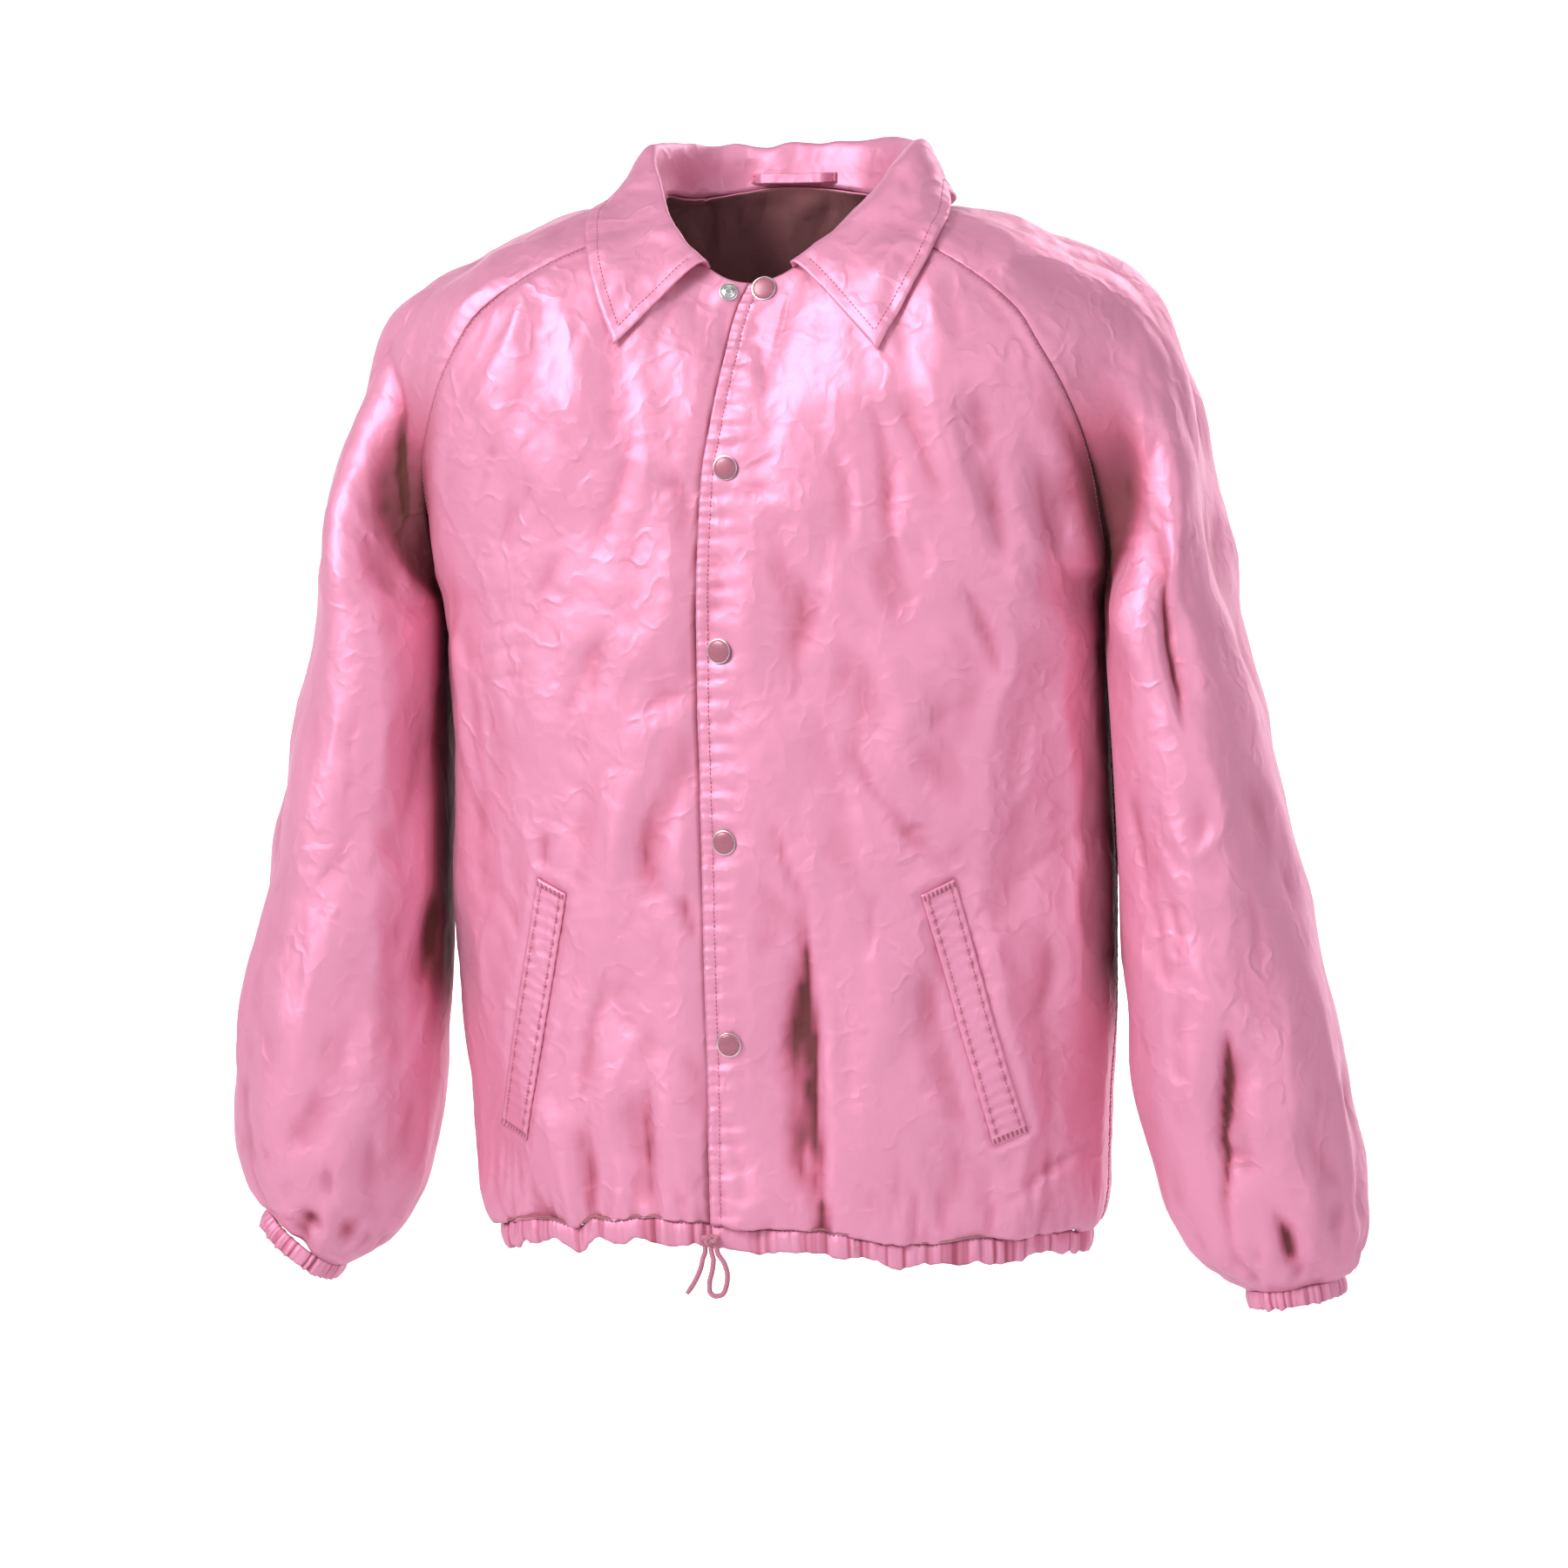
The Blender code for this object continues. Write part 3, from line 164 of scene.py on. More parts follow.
# Sleeve cap: from the front raglan seam over the crest to the back seam
CAP = (
    # level, crest x, z, turn at the front seam, at the back seam, reach at the seam, front of crest, back
    (1.00, 74.0, 10.0, 68, 50, 17, 18, 20),
    (0.87, 160.0, -10.0, 42, 20, 30, 44, 54),
    (0.74, 234.0, -41.0, 38, 25, 36, 50, 62),
    (0.62, 268.0, -70.0, 42, 32, 38, 52, 64),
    (0.50, 284.0, -106.0, 44, 40, 36, 64, 74),
    (0.35, 294.0, -150.0, 26, 26, 42, 90, 96),
    (0.20, 303.0, -200.0, -20, -20, 64, 108, 110),
    (0.08, 312.0, -242.0, -62, -62, 92, 118, 118),
    (0.00, 318.0, -268.0, -90, -90, 118, 118, 118),
)
# Sleeve below the underarm: closed rings from the inner point, round the front, to the outer point and back
ARM = (
    # level, inner x, z, outer x, z, middle y, depth each way
    (0.00, 232.0, -268.0, 318.0, -268.0, 0.0, 88.5),
    (-0.16, 235.5, -336.0, 335.0, -336.0, -5.0, 90.0),
    (-0.306, 238.0, -400.0, 350.0, -399.0, -9.0, 89.0),
    (-0.444, 239.5, -458.0, 363.0, -457.0, -12.0, 86.0),
    (-0.56, 240.0, -508.0, 373.0, -506.0, -15.0, 83.0),
    (-0.671, 242.5, -557.0, 385.0, -554.0, -18.0, 80.0),
    (-0.787, 246.0, -606.0, 394.0, -602.0, -20.0, 77.0),
)
WRIST = {
    # level, inner x, z, outer x, z, middle y, depth each way, down to the seam of the cuff
    1: (
        (-0.90, 259.0, -656.0, 404.0, -648.0, -21.0, 70.0),
        (-0.98, 270.0, -696.0, 406.0, -686.0, -21.0, 61.0),
        (-1.04, 290.0, -728.0, 401.0, -716.0, -21.0, 49.0),
        (-1.08, 321.0, -746.0, 388.0, -736.0, -21.0, 33.5),
    ),
    -1: (
        (-0.90, 256.0, -658.0, 396.0, -644.0, -21.0, 69.0),
        (-0.98, 268.0, -692.0, 392.0, -668.0, -21.0, 59.0),
        (-1.04, 291.0, -722.0, 385.0, -684.0, -21.0, 47.0),
        (-1.08, 321.0, -738.0, 373.0, -695.0, -21.0, 33.5),
    ),
}
CUFF_DEPTH = 13.0
CASING_DEPTH = 17.5

# Largest folds: where they start and end seen from the front, how wide, how deep (minus is a trough)
FOLDS = {
    "front": (
        # x, z at the start, x, z at the end, half width, depth
        (22, -520, 26, -665, 13, -8.0),
        (-95, -600, -92, -688, 14, -6.0),
        (-128, -535, -132, -640, 24, 4.5),
        (-62, -545, -74, -650, 15, 4.0),
        (128, -95, 158, -240, 17, 6.5),
        (92, -185, 130, -300, 16, 4.5),
        (146, -120, 176, -230, 11, -4.0),
        (208, -170, 222, -270, 12, -4.0),
        (-176, -115, -130, -200, 16, 4.0),
        (-70, -330, -105, -450, 14, 3.5),
        (-40, -350, -72, -450, 13, -3.0),
        (60, -330, 95, -460, 16, 3.5),
        (150, -520, 190, -640, 18, 3.0),
        (-188, -470, -196, -640, 14, -3.0),
    ),
    "back": (
        (-150, -110, -70, -260, 20, 4.5),
        (150, -110, 70, -260, 20, 4.5),
        (-60, -420, -80, -640, 18, -4.5),
        (70, -400, 60, -640, 20, -4.5),
        (5, -300, -5, -560, 18, 3.5),
        (-150, -380, -165, -620, 16, -4.0),
        (155, -420, 160, -640, 16, -4.0),
    ),
    "sleeve_left": (
        (272, -95, 292, -250, 13, 5.0),
        (268, -215, 296, -330, 11, -5.5),
        (300, -180, 312, -280, 10, -4.5),
        (318, -560, 324, -660, 15, -7.0),
        (300, -500, 332, -570, 13, 4.0),
        (352, -690, 362, -742, 8, -5.0),
        (385, -680, 372, -735, 8, -4.0),
        (300, -350, 330, -480, 16, 4.0),
    ),
    "sleeve_right": (
        (-262, -160, -256, -300, 14, -5.5),
        (-286, -150, -298, -300, 13, 3.5),
        (-318, -400, -338, -600, 16, 3.5),
        (-262, -470, -268, -570, 12, -4.5),
        (-285, -560, -290, -640, 12, 4.0),
        (-385, -590, -380, -660, 10, -4.5),
        (-334, -690, -352, -720, 9, -5.5),
        (-300, -640, -322, -700, 11, 3.5),
    ),
}

SNAP_Z = (-50.6, -168.0, -292.0, -423.0, -563.0)
SNAP_INSET = 16.5
OPEN_STUD = (-14.7, -51.9)      # x and z of the stud that shows on the right front
SNAP_LIFT = 0.2                 # air under a snap
SNAP_FREE = 12.0                # cloth this near a snap stays flat
STUD_RADIUS, OPEN_STUD_RADIUS = 5.6, 6.2
# Profiles of a cap's dome and of a stud: share of the radius, rise in mm
DOME = ((0.90, 0.35), (0.84, 0.35), (0.74, 0.32), (0.58, 0.28), (0.36, 0.18), (0.12, 0.07))
STUD = (
    (1.0, 0.15), (0.95, 0.12), (0.74, -0.1), (0.66, 0.3), (0.6, 0.12), (0.5, 0.0), (0.46, 0.9), (0.40, 0.25),
    (0.3, 0.0), (0.25, -0.5),
)
# Pocket welts on the left front, mirrored for the right front
WELT = (
    # x, z of a corner: top inner, top outer, bottom outer, bottom inner
    (112.0, -461.0), (134.0, -451.0), (176.0, -630.0), (153.0, -638.0),
)
WELT_OUT = {1: 0.0, -1: 14.0}   # the right pocket shows nearer its side seam

# Collar stations: 0 middle back, 1 back seam, 2 shoulder, 3 front seam, 4 half way to the end, 5 the end
ROLL = {
    # station, x, y, z of the roll line
    1: ((0, 0, 80, 41), (1, 66, 66, 43), (2, 103, 0, 45.5), (3, 90, -45, 18), (4, 62, -73, -9),
        (5, 31, -92, -31)),
    -1: ((0, 0, 80, 41), (1, -60, 66, 42), (2, -84, 0, 45), (3, -71, -45, 14), (4, -50, -76, -14),
         (5, -31, -92, -30)),
}
LEAF = {
    # station, x, y, z of the leaf's outer edge
    1: ((0, 0, 100, -16), (1, 103, 90, -4), (2, 122, 0, 11), (3, 132, -50, -2), (4, 121, -98, -40),
        (5, 94, -121, -91)),
    -1: ((0, 0, 100, -16), (1, -98, 89, -5), (2, -114, 0, 9), (3, -117, -52, -6), (4, -108, -96, -40),
         (5, -89, -119, -84)),
}
COLLAR_END = 28.0       # each end of the collar is this far from the middle
LEAF_CLEAR = 2.6        # air under the leaf

KNOT_POINTS = 72
# Drawcord ends, measured from the middle of the knot
CORD_TAIL = (
    (-3.6, 0.0, -4.8), (-3.7, -0.3, -8.4), (-5.2, -1.6, -13.0), (-6.2, -2.4, -18.0), (-9.0, -3.0, -25.0),
    (-12.0, -3.2, -30.5), (-16.5, -3.4, -37.0),
)
CORD_LOOP = (
    (0.4, 0.0, -4.8), (0.7, -0.3, -8.4), (2.4, -2.2, -14.0), (1.6, -3.2, -21.0), (-0.4, -3.6, -29.0),
    (-0.6, -3.6, -35.0), (3.4, -3.6, -38.6), (8.2, -3.6, -37.4), (11.4, -3.6, -31.0), (12.2, -3.2, -24.0),
    (10.0, -2.2, -16.0), (4.9, -0.3, -8.4), (4.4, 0.0, -4.8),
)


def read(table, level):
    """Read every column of a table smoothly at the given levels, with no overshoot between its rows."""
    rows = np.array(sorted(table), dtype=float)
    x, y = rows[:, 0], rows[:, 1:]
    step = np.diff(x)
    slope = np.diff(y, axis=0) / step[:, None]
    tangent = np.empty_like(y)
    tangent[0], tangent[-1] = slope[0], slope[-1]
    weight = (step[:-1] + step[1:])[:, None]
    mixed = (slope[:-1] * step[1:, None] + slope[1:] * step[:-1, None]) / weight
    limit = 3 * np.minimum(np.abs(slope[:-1]), np.abs(slope[1:]))
    same_way = slope[:-1] * slope[1:] > 0
    tangent[1:-1] = np.where(same_way, np.clip(mixed, -limit, limit), 0.0)
    level = np.asarray(level, dtype=float)
    i = np.clip(np.searchsorted(x, level, side="right") - 1, 0, len(x) - 2)
    t = ((level - x[i]) / step[i])[..., None]
    t = np.clip(t, 0.0, 1.0)
    width = step[i][..., None]
    value = (1 + 2 * t) * (1 - t) ** 2 * y[i] + t * (1 - t) ** 2 * width * tangent[i]
    value += t * t * (3 - 2 * t) * y[i + 1] + t * t * (t - 1) * width * tangent[i + 1]
    return np.moveaxis(value, -1, 0)


def points(x, y, z):
    """Stack coordinates that may be plain numbers into an array of points."""
    return np.stack(np.broadcast_arrays(x, y, z), axis=-1).astype(float)


def bezier(p0, p1, p2, p3, t):
    t = np.asarray(t, dtype=float)[..., None]
    return (1 - t) ** 3 * p0 + 3 * t * (1 - t) ** 2 * p1 + 3 * t * t * (1 - t) * p2 + t ** 3 * p3


def ease(t):
    """Go smoothly from 0 to 1."""
    t = np.clip(t, 0.0, 1.0)
    return t * t * (3 - 2 * t)


def bell(distance, width):
    """1 at no distance, falling off to both sides."""
    return np.exp(-(distance / width) ** 2)


def unit(v):
    return v / np.maximum(np.linalg.norm(v, axis=-1, keepdims=True), 1e-9)


def middle(level):
    return read(MIDDLE, level)[0]


def torso(table, face, level, s):
    """Point on the front (face -1) or back (face 1), s from -1 at the right seam to 1 at the left one."""
    my, mz, sx, sy, sz, turn, rise, reach, seam_reach = read(table, level)
    side = np.where(s < 0, -1.0, 1.0)
    mid = middle(level)
    angle = np.radians(turn)
    start = points(mid, my, mz)
    end = points(mid + side * sx, sy, sz)
    outward = points(side * np.cos(angle), -face * np.sin(angle), rise)
    p = bezier(start, start + points(side * reach, 0, 0), end - seam_reach[..., None] * outward, end,
               np.abs(s))
    dip = read(HEM_DIP, p[..., 0])[0] * ease((HEM_DIP_FROM - level) / (HEM_DIP_FROM + 1.0))
    p[..., 2] += dip
    return p


def front(level, s):
    return torso(FRONT, -1, level, s)


def back(level, s):
    return torso(BACK, 1, level, s)


def arm_table(side):
    return ARM + WRIST[side]


def sleeve(side, level, s):
    """Point on a sleeve, s from 0 at the front seam over the crest at 0.5 to 1 at the back seam.

    Below the underarm both seams are the one seam on the inner side.
    """
    level, s = np.broadcast_arrays(np.asarray(level, float), np.asarray(s, float))
    cap = level > 0
    up, down = np.where(cap, level, 0.0), np.where(cap, 0.0, level)
    mid = middle(level)
    s = np.where(cap, np.clip(s, 0, 1), s % 1.0)
    half = s < 0.5
    face = np.where(half, -1.0, 1.0)
    fx, fy, fz, frise = (read(FRONT, up)[k] for k in (2, 3, 4, 6))
    bx, by, bz, brise = (read(BACK, up)[k] for k in (2, 3, 4, 6))
    cx, cz, fturn, bturn, seam_reach, front_reach, back_reach = read(CAP, up)
    ix, iz, ox, oz, ay, depth = read(arm_table(side), down)
    seam = points(np.where(half, fx, bx), np.where(half, fy, by), np.where(half, fz, bz))
    seam = np.where(cap[..., None], seam, points(ix, ay, iz))
    crest = np.where(cap[..., None], points(cx, 0.0, cz), points(ox, ay, oz))
    turn = np.radians(np.where(half, fturn, bturn))
    rise = np.where(half, frise, brise) * cap
    reach = np.where(cap, seam_reach, depth * 4 / 3)
    crest_reach = np.where(cap, np.where(half, front_reach, back_reach), depth * 4 / 3)
    leave = points(np.where(cap, np.cos(turn), 0.0), np.where(cap, -face * np.sin(turn), face), rise)
    over = points(0.0, face * crest_reach, 0.0)
    p = bezier(seam, seam + reach[..., None] * leave, crest + over, crest, np.where(half, 2 * s, 2 - 2 * s))
    p[..., 0] = mid + side * p[..., 0]
    return p


def relief(name, face, p, mask):
    """Height of the largest folds at the given points, for the side of the garment that faces that way."""
    height = np.zeros(p.shape[:-1])
    for x0, z0, x1, z1, width, depth in FOLDS[name]:
        along = np.array([x1 - x0, z1 - z0], dtype=float)
        length = np.hypot(*along)
        offset = p[..., (0, 2)] - np.array([x0, z0])
        t = offset @ along / length ** 2
        across = np.abs(offset[..., 0] * along[1] - offset[..., 1] * along[0]) / length
        end = ease((t + 0.2) / 0.5) * ease((1.2 - t) / 0.5)
        height += depth * end * bell(across, width)
    return height * mask * ease(0.5 + face * p[..., 1] / 60.0)


def normals(surface, level, s, level_range, s_range, sign):
    """Outward normals of a surface by small steps, kept inside its borders."""
    step = 0.004
    l0, l1 = np.maximum(level - step, level_range[0]), np.minimum(level + step, level_range[1])
    s0, s1 = np.maximum(s - step, s_range[0]), np.minimum(s + step, s_range[1])
    across = surface(level, s1) - surface(level, s0)
    along = surface(l1, s) - surface(l0, s)
    return unit(sign * np.cross(across, along))


def front_normals(level, s):
    return normals(front, level, s, (HEM_LEVEL, 1.0), (-1.0, 1.0), 1)


def back_normals(level, s):
    return normals(back, level, s, (HEM_LEVEL, 1.0), (-1.0, 1.0), -1)


def sleeve_normals(side, level, s):
    return normals(partial(sleeve, side), level, s, (WRIST_LEVEL, 1.0), (-9.0, 9.0), side)


def front_at(level, x):
    """The s of the front at which each level crosses the given x."""
    low, high = np.full(np.shape(level), -0.9), np.full(np.shape(level), 0.9)
    for _ in range(36):
        half = (low + high) / 2
        under = front(level, half)[..., 0] < x
        low, high = np.where(under, half, low), np.where(under, high, half)
    return (low + high) / 2


def lap_x(z):
    return read(LAP_EDGE, z)[0]


def lap_s(level, inset):
    """The s of a line that stays a given distance from the left front's edge, to the left of it."""
    s = np.zeros(np.shape(level))
    for _ in range(4):
        s = front_at(level, lap_x(front(level, s)[..., 2]) + inset)
    return s


def shared(own, other):
    """Normal on a seam: shared where the pieces run on, its own where they meet in a deep valley."""
    agree = np.sum(own * other, axis=-1, keepdims=True)
    return unit(own + ease((agree - 0.1) / 0.5) * other)


def part_at_seam(grid, normal, column, neighbour_in, gap):
    """Move a border column of a grid into its own piece by half the seam's gap."""
    edge = grid[:, column]
    along = unit(np.gradient(edge, axis=0))
    inward = grid[:, neighbour_in] - edge
    inward -= np.sum(inward * along, axis=-1, keepdims=True) * along
    inward -= np.sum(inward * normal[:, column], axis=-1, keepdims=True) * normal[:, column]
    return unit(inward) * gap / 2


def seam_normals(level, side, face):
    """Normals of the torso and of its neighbour along the raglan seam and the side seam."""
    own_of = front_normals if face < 0 else back_normals
    other_of = back_normals if face < 0 else front_normals
    own = own_of(level, np.full(level.shape, float(side)))
    below = other_of(level, np.full(level.shape, float(side)))
    edge = 0.0 if face < 0 else 1.0
    beside = sleeve_normals(side, np.maximum(level, 0.001), np.full(level.shape, edge))
    other = np.where((level > 0)[:, None], beside, below)
    return shared(own, other)


def seam_mask(s):
    return ease((1 - np.abs(s)) / 0.12)


def neckline(side, station):
    """Point of the neck seam at a collar station."""
    if station <= 1:
        return back(1.0, side * max(station, 1e-6))
    if station <= 3:
        return sleeve(side, 1.0, 1 - (station - 1) / 2)
    end = abs(front_at(np.array(1.0), np.array(side * COLLAR_END)))
    return front(1.0, side * (1 + (end - 1) * (station - 3) / 2))


def view_axes():
    """Unit directions of the camera: to its right, upward and toward it."""
    right = np.array((math.cos(AZIMUTH), math.sin(AZIMUTH), 0.0))
    toward = np.array((math.sin(AZIMUTH) * math.cos(ELEVATION), -math.cos(AZIMUTH) * math.cos(ELEVATION),
                       math.sin(ELEVATION)))
    up = np.cross(toward, right)
    roll = np.array((math.cos(ROLL_ANGLE), math.sin(ROLL_ANGLE)))
    return roll[0] * right - roll[1] * up, roll[1] * right + roll[0] * up, toward


RIGHT, UP, TOWARD = view_axes()
EYE = DISTANCE * TOWARD
EYE -= PIXEL * ((NECK_PIXEL[0] - FRAME_MIDDLE) * RIGHT + (FRAME_MIDDLE - NECK_PIXEL[1]) * UP)


def seen(p):
    """Where points show in the frame, in pixels from its top left corner."""
    q = p - EYE
    scale = -DISTANCE / PIXEL / (q @ TOWARD)
    return FRAME_MIDDLE + scale * (q @ RIGHT), FRAME_MIDDLE - scale * (q @ UP)


random = np.random.default_rng(23)
SHUFFLE = random.permutation(512)
LEANS = unit(random.normal(size=(512, 3)))


def noise(p):
    """Smooth noise from about -1 to 1, with one cell to a unit."""
    cell = np.floor(p).astype(int)
    t = p - cell
    w = t ** 3 * (t * (6 * t - 15) + 10)
    total = np.zeros(p.shape[:-1])
    for corner in np.ndindex(2, 2, 2):
        c = cell + corner
        k = SHUFFLE[c[..., 0] & 511]
        k = SHUFFLE[(k + c[..., 1]) & 511]
        k = SHUFFLE[(k + c[..., 2]) & 511]
        weight = np.prod(np.where(np.array(corner) == 1, w, 1 - w), axis=-1)
        total += weight * np.sum(LEANS[k] * (t - corner), axis=-1)
    return total * 1.7


def line_noise(length, scale, seed):
    """The same noise along a line."""
    length = np.asarray(length, float)
    return noise(points(length / scale, seed, 0.37))


def rounded(route):
    """Cut the corners of a route twice."""
    route = np.array(route, float).reshape(-1, 2)
    for _ in range(2):
        a, b = 0.75 * route[:-1] + 0.25 * route[1:], 0.25 * route[:-1] + 0.75 * route[1:]
        route = np.vstack([route[:1], np.stack([a, b], axis=1).reshape(-1, 2), route[-1:]])
    return route


def crease(x, y, half, depth, lean, route):
    """Height of one sharp crease at flat places. Its left side is wider where it leans."""
    route = rounded(route)
    half = half * CREASE_WIDTH
    reach = half * CREASE_REACH
    low, high = route.min(axis=0) - reach, route.max(axis=0) + reach
    inside = (x > low[0]) & (x < high[0]) & (y > low[1]) & (y < high[1])
    height = np.zeros(x.shape)
    if not inside.any():
        return height
    px, py = x[inside], y[inside]
    nearest, side, along, start = np.full(px.shape, 1e9), np.zeros(px.shape), np.zeros(px.shape), 0.0
    for a, b in zip(route, route[1:]):
        step = b - a
        size = np.hypot(*step)
        t = np.clip(((px - a[0]) * step[0] + (py - a[1]) * step[1]) / size ** 2, 0, 1)
        ox, oy = px - a[0] - t * step[0], py - a[1] - t * step[1]
        far = np.hypot(ox, oy)
        closer = far < nearest
        nearest = np.where(closer, far, nearest)
        side = np.where(closer, np.sign(ox * step[1] - oy * step[0]), side)
        along = np.where(closer, start + t * size, along)
        start += size
    v = along / start
    end = ease(v / CREASE_FADE) * ease((1 - v) / CREASE_FADE)
    height[inside] = depth * end * np.exp(-(nearest / (half * (1 + lean * side))) ** CREASE_POWER)
    return height


